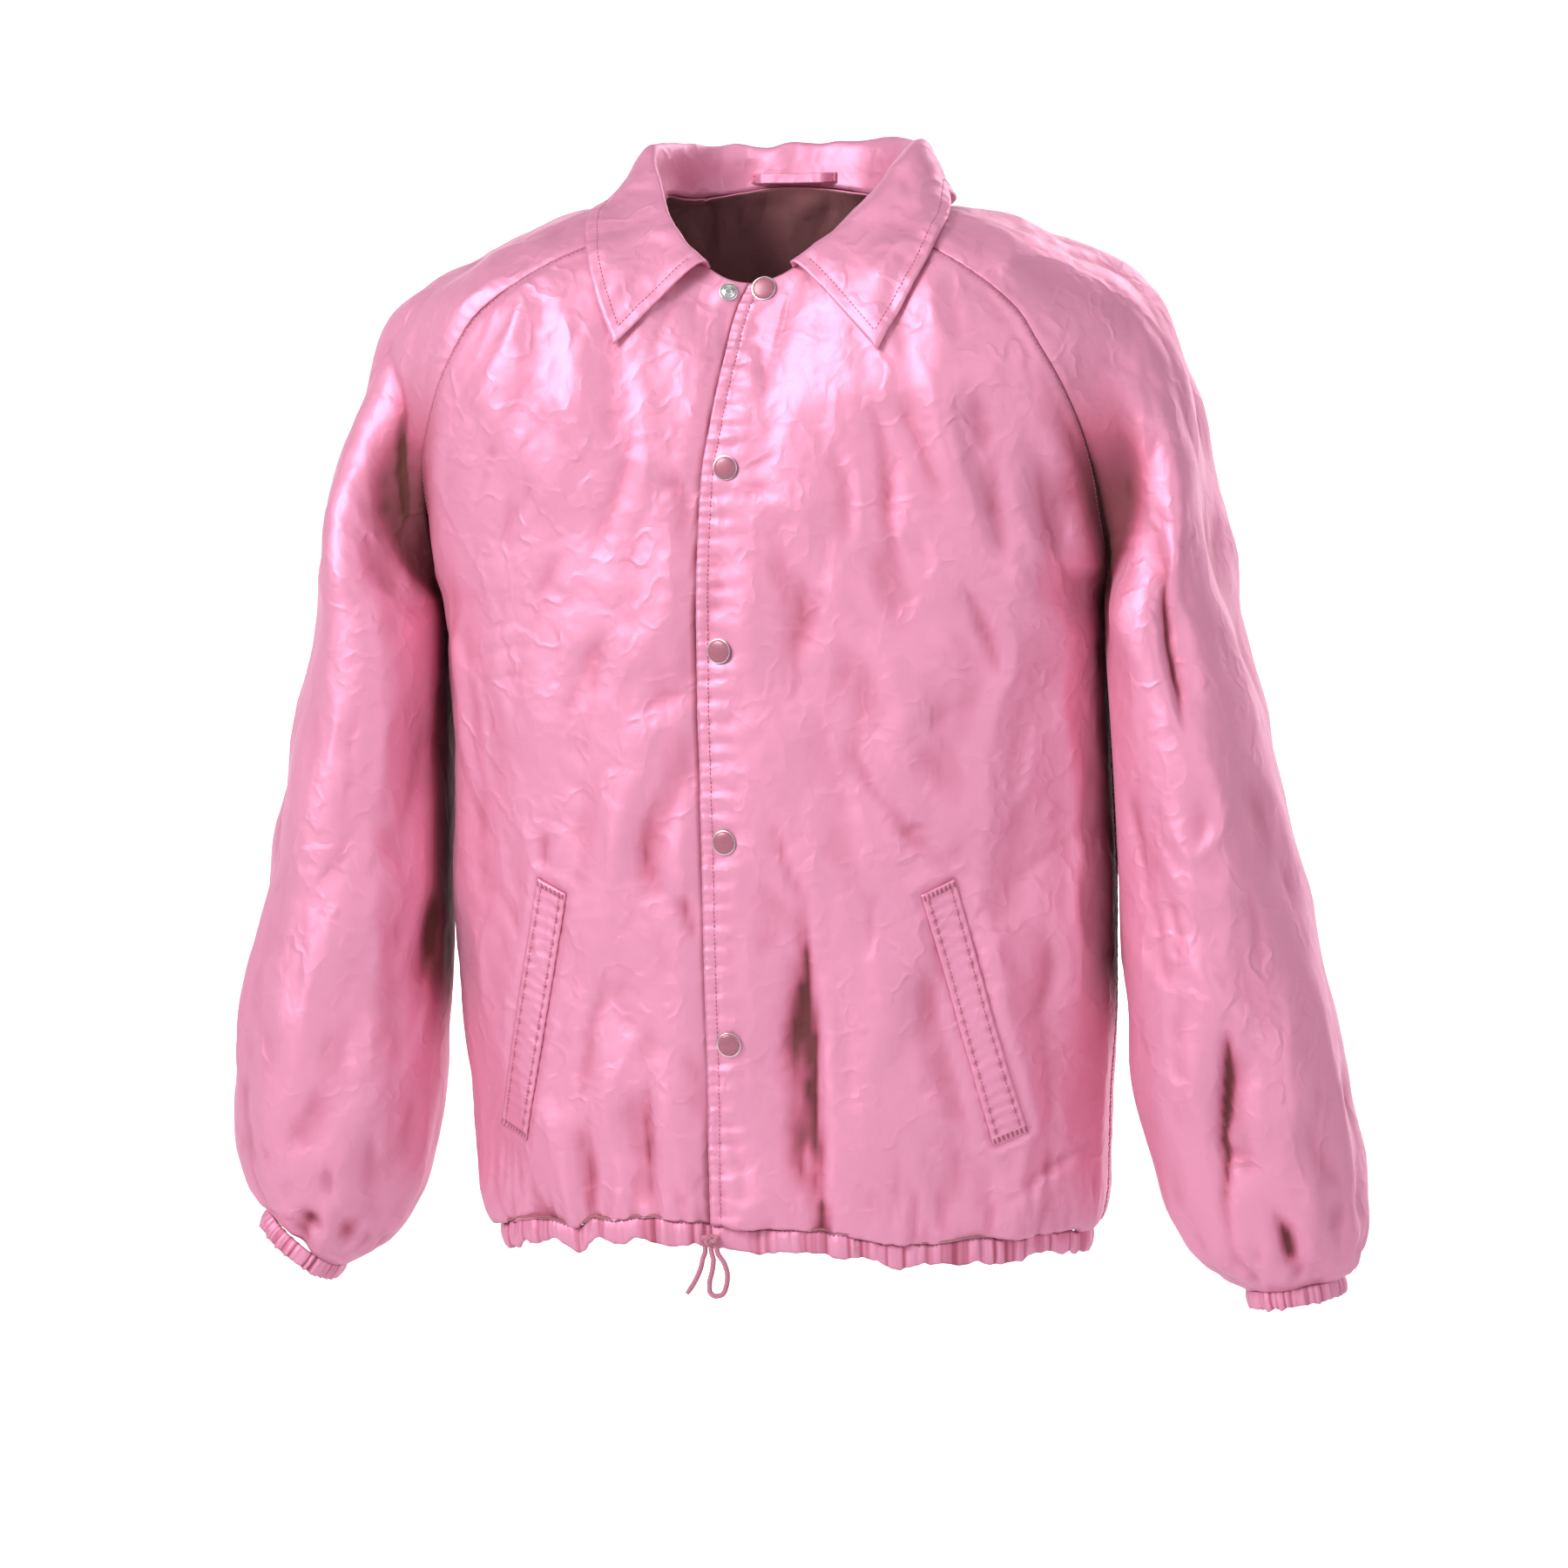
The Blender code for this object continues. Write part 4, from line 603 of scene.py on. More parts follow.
# Creases where the camera sees them: on the body (b), the sleeves (s) or across both (a), half width in
# pixels of the frame, depth in mm (minus is a trough), lean, and x, y of the route's corners in pixels
CREASES = (
    ("b", 8, -3.0, 0.0, (624, 950, 621, 985, 619, 1009)),
    ("b", 9, 2.4, 0.2, (652, 935, 638, 975, 622, 1010)),
    ("b", 8, 2.0, -0.2, (594, 930, 605, 975, 614, 1005)),
    ("b", 5, -1.0, 0.0, (622, 1060, 619, 1200, 624, 1370)),
    ("b", 12, -4.6, 0.4, (702, 1080, 684, 1140, 676, 1198, 660, 1296)),
    ("b", 8, -5.0, 0.2, (752, 1215, 740, 1298, 748, 1410)),
    ("b", 12, 2.4, 0.0, (774, 1100, 715, 1215, 688, 1335)),
    ("b", 4, -0.9, 0.0, (712, 1128, 728, 1116, 748, 1106)),
    ("b", 4, -0.9, 0.0, (718, 1122, 706, 1140, 697, 1158)),
    ("b", 4, -0.8, 0.0, (714, 1124, 727, 1140, 741, 1152)),
    ("b", 8, -4.4, 0.3, (772, 1010, 788, 1052, 806, 1096)),
    ("b", 8, -2.6, 0.0, (818, 1336, 796, 1366, 772, 1394)),
    ("a", 8, -1.6, 0.2, (593, 440, 588, 560, 574, 710)),
    ("b", 13, 2.2, -0.3, (588, 400, 659, 476, 699, 523, 804, 541)),
    ("b", 9, -1.9, 0.0, (624, 484, 653, 506, 680, 560)),
    ("b", 9, -1.9, 0.3, (696, 716, 666, 771, 642, 852)),
    ("b", 8, -1.4, 0.0, (646, 626, 628, 664, 611, 700)),
    ("b", 8, -1.6, 0.0, (802, 800, 752, 798, 728, 836)),
    ("a", 5, -1.0, 0.0, (538, 732, 572, 716, 606, 714)),
    ("a", 5, -1.1, 0.0, (534, 762, 575, 744, 616, 742)),
    ("a", 5, -0.9, 0.0, (541, 792, 580, 776, 616, 777)),
    ("b", 4, -1.0, 0.0, (607, 1008, 593, 1079, 583, 1198, 570, 1316)),
    ("b", 4, -0.9, 0.0, (634, 1296, 652, 1300, 672, 1304)),
    ("b", 4, -0.9, 0.0, (636, 1318, 655, 1316, 672, 1311)),
    ("b", 5, -8.5, 0.0, (912, 985, 922, 1100, 932, 1240, 942, 1370, 947, 1480)),
    ("b", 7, 1.4, 0.0, (948, 1090, 956, 1200, 962, 1310)),
    ("a", 13, 2.0, 0.2, (1094, 356, 1107, 486, 1184, 640)),
    ("b", 11, 1.8, 0.0, (1026, 524, 1071, 629, 1124, 744)),
    ("b", 9, -1.7, 0.0, (1122, 440, 1130, 484, 1138, 528)),
    ("a", 13, -2.2, 0.0, (1240, 512, 1232, 570, 1220, 638)),
    ("b", 7, -1.6, 0.0, (938, 560, 952, 668, 921, 746)),
    ("b", 5, -1.0, 0.0, (1072, 976, 998, 1034, 993, 1062, 996, 1139, 1008, 1208)),
    ("b", 5, -1.1, 0.0, (850, 543, 874, 532, 902, 517)),
    ("b", 5, -1.1, 0.0, (848, 555, 874, 562, 902, 574)),
    ("b", 6, -1.3, 0.0, (852, 752, 878, 780, 903, 822)),
    ("b", 6, 1.0, 0.0, (850, 968, 884, 1000, 902, 1044)),
    ("b", 6, -1.0, 0.0, (848, 1200, 878, 1226, 905, 1262)),
    ("b", 10, 1.6, 0.0, (1010, 820, 1040, 900, 1052, 980)),
    ("b", 9, -1.3, 0.2, (1120, 800, 1148, 880, 1150, 960)),
    ("b", 10, 1.5, 0.0, (1030, 1220, 1044, 1300, 1070, 1392)),
    ("b", 8, -1.6, 0.0, (1092, 1290, 1098, 1340, 1090, 1402)),
    ("b", 9, -1.4, 0.0, (1188, 1120, 1204, 1220, 1200, 1330)),
    ("b", 6, 2.2, 0.0, (1143, 1382, 1205, 1352, 1268, 1318)),
    ("b", 7, -3.2, 0.2, (1124, 1406, 1190, 1354, 1262, 1304)),
    ("b", 10, -3.0, 0.0, (1204, 1050, 1208, 1120, 1180, 1190)),
    ("b", 3, -1.4, 0.0, (1028, 962, 1052, 950, 1080, 945)),
    ("b", 5, -2.2, 0.0, (870, 905, 905, 1000, 930, 1070)),
    ("b", 6, 2.0, 0.0, (940, 865, 936, 960, 932, 1064)),
    ("b", 10, -3.4, 0.2, (964, 830, 1010, 930, 1086, 994)),
    ("b", 9, 2.6, 0.0, (985, 700, 1040, 800, 1100, 905)),
    ("b", 8, -2.8, 0.2, (1084, 620, 1130, 720, 1160, 820)),
    ("s", 6, 2.8, 0.0, (1344, 925, 1356, 984, 1386, 984, 1418, 905)),
    ("s", 6, -2.6, 0.0, (1330, 1010, 1352, 1060, 1356, 1130)),
    ("s", 12, 2.4, 0.2, (1303, 376, 1318, 521, 1325, 629, 1339, 746)),
    ("s", 6, -5.5, 0.2, (1322, 610, 1346, 736, 1361, 878)),
    ("s", 8, -2.1, 0.0, (1360, 548, 1374, 630, 1378, 708)),
    ("s", 4, -1.0, 0.0, (1252, 616, 1286, 612, 1323, 611)),
    ("s", 4, -1.0, 0.0, (1255, 636, 1290, 633, 1323, 630)),
    ("s", 6, -6.5, 0.0, (1414, 1130, 1406, 1230, 1403, 1328, 1409, 1450)),
    ("s", 9, -2.0, 0.3, (1308, 1186, 1390, 1272, 1420, 1310)),
    ("s", 7, -1.8, 0.0, (1380, 1098, 1400, 1116, 1410, 1148)),
    ("s", 9, 1.8, 0.0, (1352, 900, 1366, 1000, 1384, 1090)),
    ("s", 8, -1.4, 0.0, (1420, 960, 1444, 1060, 1456, 1160)),
    ("s", 9, 1.8, 0.0, (1452, 1180, 1450, 1280, 1442, 1370)),
    ("s", 7, -3.0, 0.2, (1460, 1372, 1474, 1436, 1478, 1470)),
    ("s", 6, -2.0, 0.0, (1514, 1440, 1503, 1458, 1494, 1474)),
    ("s", 8, -2.4, 0.0, (1566, 1406, 1548, 1436, 1528, 1462)),
    ("s", 8, 1.8, 0.0, (1500, 1330, 1506, 1390, 1500, 1440)),
    ("s", 5, 1.2, 0.0, (360, 990, 355, 1110, 357, 1230)),
    ("s", 13, -2.4, 0.0, (508, 994, 503, 1080, 498, 1170)),
    ("s", 9, 2.2, 0.0, (523, 1066, 496, 1153, 480, 1207, 483, 1268)),
    ("s", 8, -6.0, 0.2, (430, 350, 450, 450, 460, 539, 474, 660)),
    ("s", 8, -2.0, 0.0, (476, 512, 494, 575, 495, 646, 505, 742)),
    ("s", 9, 1.8, 0.0, (404, 420, 424, 540, 430, 660)),
    ("s", 8, 2.0, 0.0, (472, 1192, 468, 1250, 460, 1306)),
    ("s", 8, -2.8, 0.0, (376, 1326, 379, 1360, 381, 1394)),
    ("s", 6, -2.4, 0.0, (293, 1284, 300, 1316, 306, 1348)),
    ("s", 8, -1.4, 0.0, (420, 780, 398, 880, 392, 990)),
    ("s", 9, 1.6, 0.0, (462, 760, 440, 860, 432, 960)),
    ("s", 7, -1.8, 0.0, (430, 1240, 424, 1300, 430, 1380)),
    ("s", 7, 1.8, 0.0, (340, 1290, 344, 1350, 352, 1420)),
)

# Creases on the far side, from behind, as x and z in mm
REAR_CREASES = (
    ("b", 14, 2.2, 0.2, (-150, -80, -96, -170, -40, -230)),
    ("b", 13, 2.0, -0.2, (150, -84, 92, -176, 46, -246)),
    ("b", 9, -1.8, 0.0, (-120, -210, -80, -250, -20, -262)),
    ("b", 9, -1.6, 0.0, (128, -226, 84, -270, 30, -284)),
    ("b", 8, -1.5, 0.0, (-60, -50, -20, -66, 40, -60)),
    ("b", 12, -2.2, 0.0, (-70, -380, -62, -500, -84, -640)),
    ("b", 12, 2.0, 0.0, (-20, -360, -8, -480, -16, -620)),
    ("b", 11, -2.2, 0.2, (66, -400, 76, -520, 60, -660)),
    ("b", 9, -1.6, 0.0, (140, -340, 128, -430, 136, -540)),
    ("b", 8, -1.5, 0.0, (-160, -430, -140, -520, -150, -610)),
    ("b", 6, -1.1, 0.0, (-226, -300, -180, -320, -140, -318)),
    ("b", 6, -1.1, 0.0, (226, -306, 184, -330, 150, -330)),
    ("b", 6, -1.0, 0.0, (-228, -330, -190, -352, -160, -352)),
    ("b", 8, 1.6, 0.0, (20, -540, 32, -610, 26, -680)),
    ("b", 8, -2.0, 0.0, (-120, -610, -112, -650, -118, -690)),
    ("b", 8, -2.0, 0.0, (110, -600, 104, -650, 112, -692)),
    ("s", 9, -2.4, 0.0, (-262, -150, -258, -220, -264, -310)),
    ("s", 9, 2.0, 0.0, (-290, -170, -296, -250, -306, -350)),
    ("s", 7, -1.4, 0.0, (-252, -352, -290, -372, -322, -370)),
    ("s", 8, -2.0, 0.2, (-330, -420, -320, -500, -334, -580)),
    ("s", 8, 1.8, 0.0, (-282, -540, -296, -620, -300, -690)),
    ("s", 7, -2.4, 0.0, (-350, -620, -348, -670, -340, -716)),
    ("s", 9, -2.4, 0.0, (264, -156, 262, -226, 266, -314)),
    ("s", 9, 2.0, 0.0, (292, -160, 304, -250, 312, -346)),
    ("s", 7, -1.4, 0.0, (256, -360, 294, -380, 330, -376)),
    ("s", 8, -2.0, 0.2, (342, -440, 330, -520, 348, -600)),
    ("s", 8, 1.8, 0.0, (292, -560, 306, -640, 318, -706)),
    ("s", 7, -2.4, 0.0, (372, -640, 372, -690, 362, -734)),
)


def length_across(grid):
    """Distance along each row from its first point."""
    step = np.linalg.norm(np.diff(grid, axis=1), axis=-1)
    return np.concatenate([np.zeros((len(grid), 1)), np.cumsum(step, axis=1)], axis=1)


def length_down(grid):
    """Distance along each column from its first point."""
    return length_across(grid.swapaxes(0, 1)).T


def lengths(line):
    """Distance along one line from its first point."""
    return length_across(line[None])[0]


def points_at(distance, along, line):
    """Points of a line at these distances along it."""
    return np.stack([np.interp(distance, along, line[:, k]) for k in range(3)], axis=-1)


def facets(p, where, share):
    """Flat facets that meet in sharp crests, in patches that cover about a share of the cloth."""
    return (0.42 - np.abs(noise(p))) * ease(share + 1.7 * noise(where))


def crumple(p, fan=0.0, lean=0.0):
    """Unevenness of thin nylon that has been worn: long hollows, facets between crests and finer lines.

    The long ones run down the cloth, fan out from the neck or lean with the arm.
    """
    run = p.copy()
    run[..., 0] = p[..., 0] * (1 + fan * np.clip((p[..., 2] + 290) / 260, 0, 1)) + lean * p[..., 2]
    bent = run + 12.0 * noise(p / 70 + 2)[..., None] * np.array((1.0, 0.0, 0.5))
    height = 2.0 * noise(bent / (62, 62, 200))
    height += 6.0 * facets(bent / (84, 84, 300) + 5, p / 150 + 7, 0.6)
    height -= 4.6 * facets(bent / (60, 60, 190) + 9, p / 110 + 13, 0.5)
    height += 1.9 * facets(bent / (36, 36, 90) + 15, p / 80 + 19, 0.35)
    height -= 0.9 * facets(bent / (25, 25, 44) + 21, p / 60 + 33, 0.25)
    return height + 0.35 * facets(p / (13, 13, 19) + 27, p / 50 + 37, 0.3) + 0.08 * noise(p / 8 + 31)


def smoothed(field, rows):
    """Average of a field over its neighbouring rows, weighted by a bell curve."""
    reach = int(3 * rows)
    weights = np.exp(-0.5 * (np.arange(-reach, reach + 1) / rows) ** 2)
    padded = np.pad(field, ((reach, reach),) + ((0, 0),) * (field.ndim - 1), mode="edge")
    return sum(share * padded[k:k + len(field)] for k, share in enumerate(weights / weights.sum()))


def hollows(height):
    """Painted shade from 0 to 1 for the cloth's colour: how far each place lies in a fold, by its depth below
    its surroundings.
    """
    around = smoothed(smoothed(height, 3 / COARSE).T, 3 / COARSE).T
    below = smoothed(around - height, 1 / COARSE)
    return np.clip(0.25 * (below - 0.2), 0, 0.3) + np.clip(0.32 * (below - 1.7), 0, 0.7)


def arm_gap(level, edge):
    """From 0 to 1 where sleeve and body lie against each other, which no light reaches."""
    return 0.95 * ease(edge) * ease((0.62 - level) / 0.4) * ease((level + 0.75) / 0.16)


def creases(p, normal, group, off_seam):
    """Height of all placed creases: the camera's side from the frame, the far side from behind."""
    toward = ease((normal @ TOWARD + 0.05) / 0.35)
    away = ease((normal[..., 1] + 0.1) / 0.4) * (1 - toward)
    x, y = seen(p + (2.6 * noise(p / 34 + 3) + 1.0 * noise(p / 13 + 4))[..., None] * RIGHT)
    height = np.zeros(x.shape)
    for table, fx, fy, facing in ((CREASES, x, y, toward), (REAR_CREASES, p[..., 0], p[..., 2], away)):
        for kind, half, depth, lean, route in table:
            if kind in ("a", group):
                mask = facing if kind == "a" else facing * off_seam
                height += mask * crease(fx, fy, half, depth, lean, route)
    return height


def puckers(along, away, wave, reach, seed):
    """Small ripples that a row of stitches draws up, strongest at the row."""
    phase = 2 * math.pi * along / wave + 2.2 * line_noise(along, 31.0, seed)
    strength = 0.75 + 0.5 * line_noise(along, 17.0, seed + 3)
    return np.sin(phase) * strength * bell(away, reach)


def even_levels(surface, start, end, step, stations):
    """Levels from start to end at an even spacing down the cloth."""
    dense = np.linspace(start, end, 500)
    travelled = sum(lengths(surface(dense, np.full(500, float(s)))) for s in stations) / len(stations)
    return np.interp(np.linspace(0, travelled[-1], int(travelled[-1] / step) + 2), travelled, dense)


def level_rows(surface, bottom, step, above, below):
    """Levels of a piece's rows, from the neck to the underarm and on to its bottom."""
    upper = even_levels(surface, 1.0, 0.0, step * COARSE, above)
    return np.concatenate([upper[:-1], even_levels(surface, 0.0, bottom, step * COARSE, below)])


class Sheet:
    """Grid of points with outward normals and with painted shade: how far its colour is darkened in folds and
    gaps.

    Rows from closed_from on are rings, whose last column is the first.
    """

    def __init__(self, grid, normal, closed_from=None, painted_shade=None):
        self.grid, self.normal, self.closed_from = grid, normal, closed_from
        self.painted_shade = np.zeros(grid.shape[:2]) if painted_shade is None else painted_shade

    def line(self, inset, from_end=False):
        """Points and normals down the sheet at this distance in from its first or last column."""
        grid, normal = (self.grid[:, ::-1], self.normal[:, ::-1]) if from_end else (self.grid, self.normal)
        across = length_across(grid)
        spots = np.array([points_at(inset, *pair) for pair in zip(across, grid)])
        return spots, unit(np.array([points_at(inset, *pair) for pair in zip(across, normal)]))

    def row_line(self, inset, from_end=False):
        """The same across the sheet, in from its first or last row."""
        return Sheet(self.grid.swapaxes(0, 1), self.normal.swapaxes(0, 1)).line(inset, from_end)


# Sheets, finished meshes and cuts of cloth by name, as the operators make them
SHEETS, MADE, CUTS = {}, {}, {}


def add_mesh(name, verts, faces, finish):
    """Mesh object from points in mm, smooth, with outward faces."""
    mesh = bpy.data.meshes.new(name)
    mesh.from_pydata((verts * MM).tolist(), [], faces)
    mesh.materials.append(finish)
    mesh.shade_smooth()
    body = bpy.data.objects.new(name, mesh)
    bpy.context.scene.collection.objects.link(body)
    MADE[name] = body
    return body


def shell(name, sheet, thickness, finish, inside):
    """Closed wall under a sheet: the sheet, its inner face with a finish of its own, and the rim round it."""
    rows, columns = sheet.grid.shape[:2]
    number = np.arange(rows * columns).reshape(rows, columns)
    if sheet.closed_from is not None:
        number[sheet.closed_from:, -1] = number[sheet.closed_from:, 0]
    corners = (number[:-1, :-1], number[:-1, 1:], number[1:, 1:], number[1:, :-1])
    faces = np.stack(corners, axis=-1).reshape(-1, 4)
    outer = sheet.grid.reshape(-1, 3)
    inner = outer - (sheet.normal * thickness).reshape(-1, 3)
    turn = np.cross(outer[faces[:, 2]] - outer[faces[:, 0]], outer[faces[:, 3]] - outer[faces[:, 1]])
    if np.sum(turn * (outer - inner)[faces[:, 0]]) < 0:
        faces = faces[:, ::-1]
    count = len(outer)
    edges = np.concatenate([faces[:, (k, (k + 1) % 4)] for k in range(4)])
    key, back_key = edges[:, 0] * count + edges[:, 1], edges[:, 1] * count + edges[:, 0]
    border = edges[~np.isin(key, back_key)]
    rim = np.stack([border[:, 1], border[:, 0], border[:, 0] + count, border[:, 1] + count], axis=1)
    wrong_side = len(faces)
    faces = np.concatenate([faces, faces[:, ::-1] + count, rim])
    used, faces = np.unique(faces, return_inverse=True)
    body = add_mesh(name, np.vstack([outer, inner])[used], faces.reshape(-1, 4).tolist(), finish)
    body.data.materials.append(inside)
    side = np.zeros(len(body.data.polygons), np.int32)
    side[wrong_side:2 * wrong_side] = 1
    body.data.polygons.foreach_set("material_index", side)
    # The painted shade goes into the attribute 'fold', which darkens the satin's colour
    fold = body.data.attributes.new("fold", "FLOAT", "POINT")
    fold.data.foreach_set("value", np.tile(sheet.painted_shade.reshape(-1), 2)[used].astype(np.float32))
    return body


def tree_of(*names):
    """Search tree over finished pieces, in millimetres."""
    verts, faces = [], []
    for name in names:
        start = len(verts)
        mesh = MADE[name].data
        verts += [tuple(v.co / MM) for v in mesh.vertices]
        faces += [tuple(start + v for v in p.vertices) for p in mesh.polygons]
    return BVHTree.FromPolygons(verts, faces)


SNAPS = tuple((float(lap_x(z)) + SNAP_INSET - (4.0 if k == 0 else 0.0), z) for k, z in enumerate(SNAP_Z))
SNAPS += (OPEN_STUD,)


def near_snaps(p):
    """From 0 on a snap to 1 away from it, on the fronts."""
    free = np.ones(p.shape[:-1])
    for x, z in SNAPS:
        free *= 1 - np.exp(-(((p[..., 0] - x) ** 2 + (p[..., 2] - z) ** 2) / SNAP_FREE ** 2))
    return np.where(p[..., 1] < 0, free, 1.0)


def torso_height(p, normal, level, s, off_seam, down):
    """Height of the fine folds on the fronts and the back."""
    amount = bpy.context.scene.jacket_cloth
    height = amount.crumple * crumple(p, fan=0.7) * (0.25 + 0.75 * ease(off_seam))
    height += amount.folds * creases(p, normal, "b", off_seam)
    over_hem = ease((HEM_FOLDS_FROM - p[..., 2]) / 80.0)
    small = 4.6 * facets(p / (12, 12, 90) + 41, p / 60, 0.8) + 1.6 * noise(p / (19, 19, 110) + 43)
    height += over_hem * small
    height *= near_snaps(p)
    height *= ease((down - 2.0) / 22.0) * 0.85 + 0.15
    under_arm = ease((0.06 - level) / 0.08)
    return height + under_arm * (np.minimum(height, 0.3 + 6.0 * ease((1 - np.abs(s)) / 0.25)) - height)


def beside_welt(side, x, z):
    """Distance from a front's pocket welt, seen from the front, and 0 on it."""
    inner, outer, _, low = (np.array((side * (px + 5.0 + WELT_OUT[side]) - 5.0, pz)) for px, pz in WELT)
    wide, long = outer - inner, low - inner
    whole = wide[0] * long[1] - wide[1] * long[0]
    u = ((x - inner[0]) * long[1] - (z - inner[1]) * long[0]) / whole
    v = ((z - inner[1]) * wide[0] - (x - inner[0]) * wide[1]) / whole
    past = [np.maximum(np.maximum(-t, t - 1), 0) * np.hypot(*edge) for t, edge in ((u, wide), (v, long))]
    return np.hypot(*past)


def seam_relief(along, away):
    """Groove of a raglan seam, with the cloth drawn up beside it."""
    return 0.3 * puckers(along, away, 8.5, 9.0, 3.3) - 0.9 * bell(away, 2.4)


def blended_normals(normal, at_seam, away):
    """Turn the normals toward the seam's own over the last few millimetres."""
    w = bell(away, 7.0)[..., None]
    return unit(normal * (1 - w) + at_seam[:, None] * w)


def make_front(side):
    """One front from its own edge to the raglan and side seams. The right one goes on under the left one."""
    level = level_rows(front, HEM_LEVEL, FRONT_STEP, (0, side), (0, side))
    t = np.concatenate([np.linspace(0, EDGE_SHARE, int(EDGE_COLUMNS / COARSE)),
                        np.linspace(EDGE_SHARE, 1, int(FRONT_COLUMNS / COARSE))[1:]])
    past = HIDDEN_EDGE_TOP + (HIDDEN_EDGE - HIDDEN_EDGE_TOP) * ease((1 - level) / 0.7)
    edge = lap_s(level, 0.0 if side > 0 else past)
    s = edge[:, None] + (side - edge)[:, None] * t
    levels = np.broadcast_to(level[:, None], s.shape)
    grid, normal = front(levels, s), front_normals(levels, s)
    across, down = length_across(grid), length_down(grid)
    away = across[:, -1:] - across
    at_seam = seam_normals(level, side, -1)
    normal = blended_normals(normal, at_seam, away)
    normal[:, -1] = at_seam
    height = torso_height(grid, normal, levels, s, ease(away / 14.0), down)
    height += seam_relief(down[:, -1:] + 0 * away, away)
    if side > 0:
        edge_free = ease(across / 30.0)
        height = np.maximum(height, -1.2) * (1 - edge_free) * 0.5 + height * edge_free
        along = down[:, :1] + 0 * across
        height += 0.85 * puckers(along, across - 5.0, 7.0, 6.5, 1.7)
        height += 0.9 * puckers(along, across - 13.0, 15.5, 12.0, 2.9)
        height -= 0.9 * bell(across - 8.0, 1.5)
        height = np.where(across < 34, np.maximum(height, -1.6), height)
    apart = beside_welt(side, grid[..., 0], grid[..., 2])
    height = height * (1 - 0.5 * bell(apart, 6.0)) - 1.5 * bell(apart, 2.5)
    height += 0.9 * bell(apart - 6.0, 5.0) * (1 + 0.8 * noise(grid / 7 + 71))
    under = ease((grid[..., 0] - lap_x(grid[..., 2]) + LAP_RAMP * 0.7) / LAP_RAMP)
    if side < 0:
        height *= 1 - 0.9 * under
        height = np.where(grid[..., 0] > lap_x(grid[..., 2]) - 10, np.minimum(height, 1.0), height)
    deep = relief("front", -1, grid, seam_mask(s))
    # Painted shade: the colour is darkened in folds and where sleeve and body lie together
    painted_shade = hollows(height + deep) + arm_gap(levels, (np.abs(s) - 0.82) / 0.13)
    if side < 0:
        # Painted shadow of the left front's edge on the right front beneath it
        lap_shadow = ease((grid[..., 0] - lap_x(grid[..., 2]) + 3.5) / 3.0)
        painted_shade = np.maximum(painted_shade, 0.95 * lap_shadow)
    grid = grid + normal * (height + deep)[..., None]
    if side < 0:
        at_hem = ease((-0.85 - levels) / 0.12)
        grid[..., 1] += (LAP_DROP + (LAP_DROP_HEM - LAP_DROP) * at_hem) * under
    grid[:, -1] += part_at_seam(grid, normal, -1, -2, SEAM_GAP)
    return Sheet(grid, normal, painted_shade=painted_shade)


def make_back():
    """The back, from raglan and side seam to raglan and side seam."""
    level = level_rows(back, HEM_LEVEL, BACK_STEP, (0, 1), (0, 1))
    s, levels = np.meshgrid(np.linspace(-1, 1, int(BACK_COLUMNS / COARSE)), level)
    grid, normal = back(levels, s), back_normals(levels, s)
    across, down = length_across(grid), length_down(grid)
    away = np.minimum(across, across[:, -1:] - across)
    for column, side in ((0, -1), (-1, 1)):
        at_seam = seam_normals(level, side, 1)
        distance = across if side < 0 else across[:, -1:] - across
        normal = blended_normals(normal, at_seam, distance)
        normal[:, column] = at_seam
    height = torso_height(grid, normal, levels, s, ease(away / 14.0), down)
    height += seam_relief(down[:, -1:] + 0 * away, away)
    deep = relief("back", 1, grid, seam_mask(s))
    # Painted shade in folds and beside the sleeves
    painted_shade = hollows(height + deep) + arm_gap(levels, (np.abs(s) - 0.9) / 0.1)
    grid = grid + normal * (height + deep)[..., None]
    grid[:, 0] += part_at_seam(grid, normal, 0, 1, SEAM_GAP)
    grid[:, -1] += part_at_seam(grid, normal, -1, -2, SEAM_GAP)
    return Sheet(grid, normal, painted_shade=painted_shade)


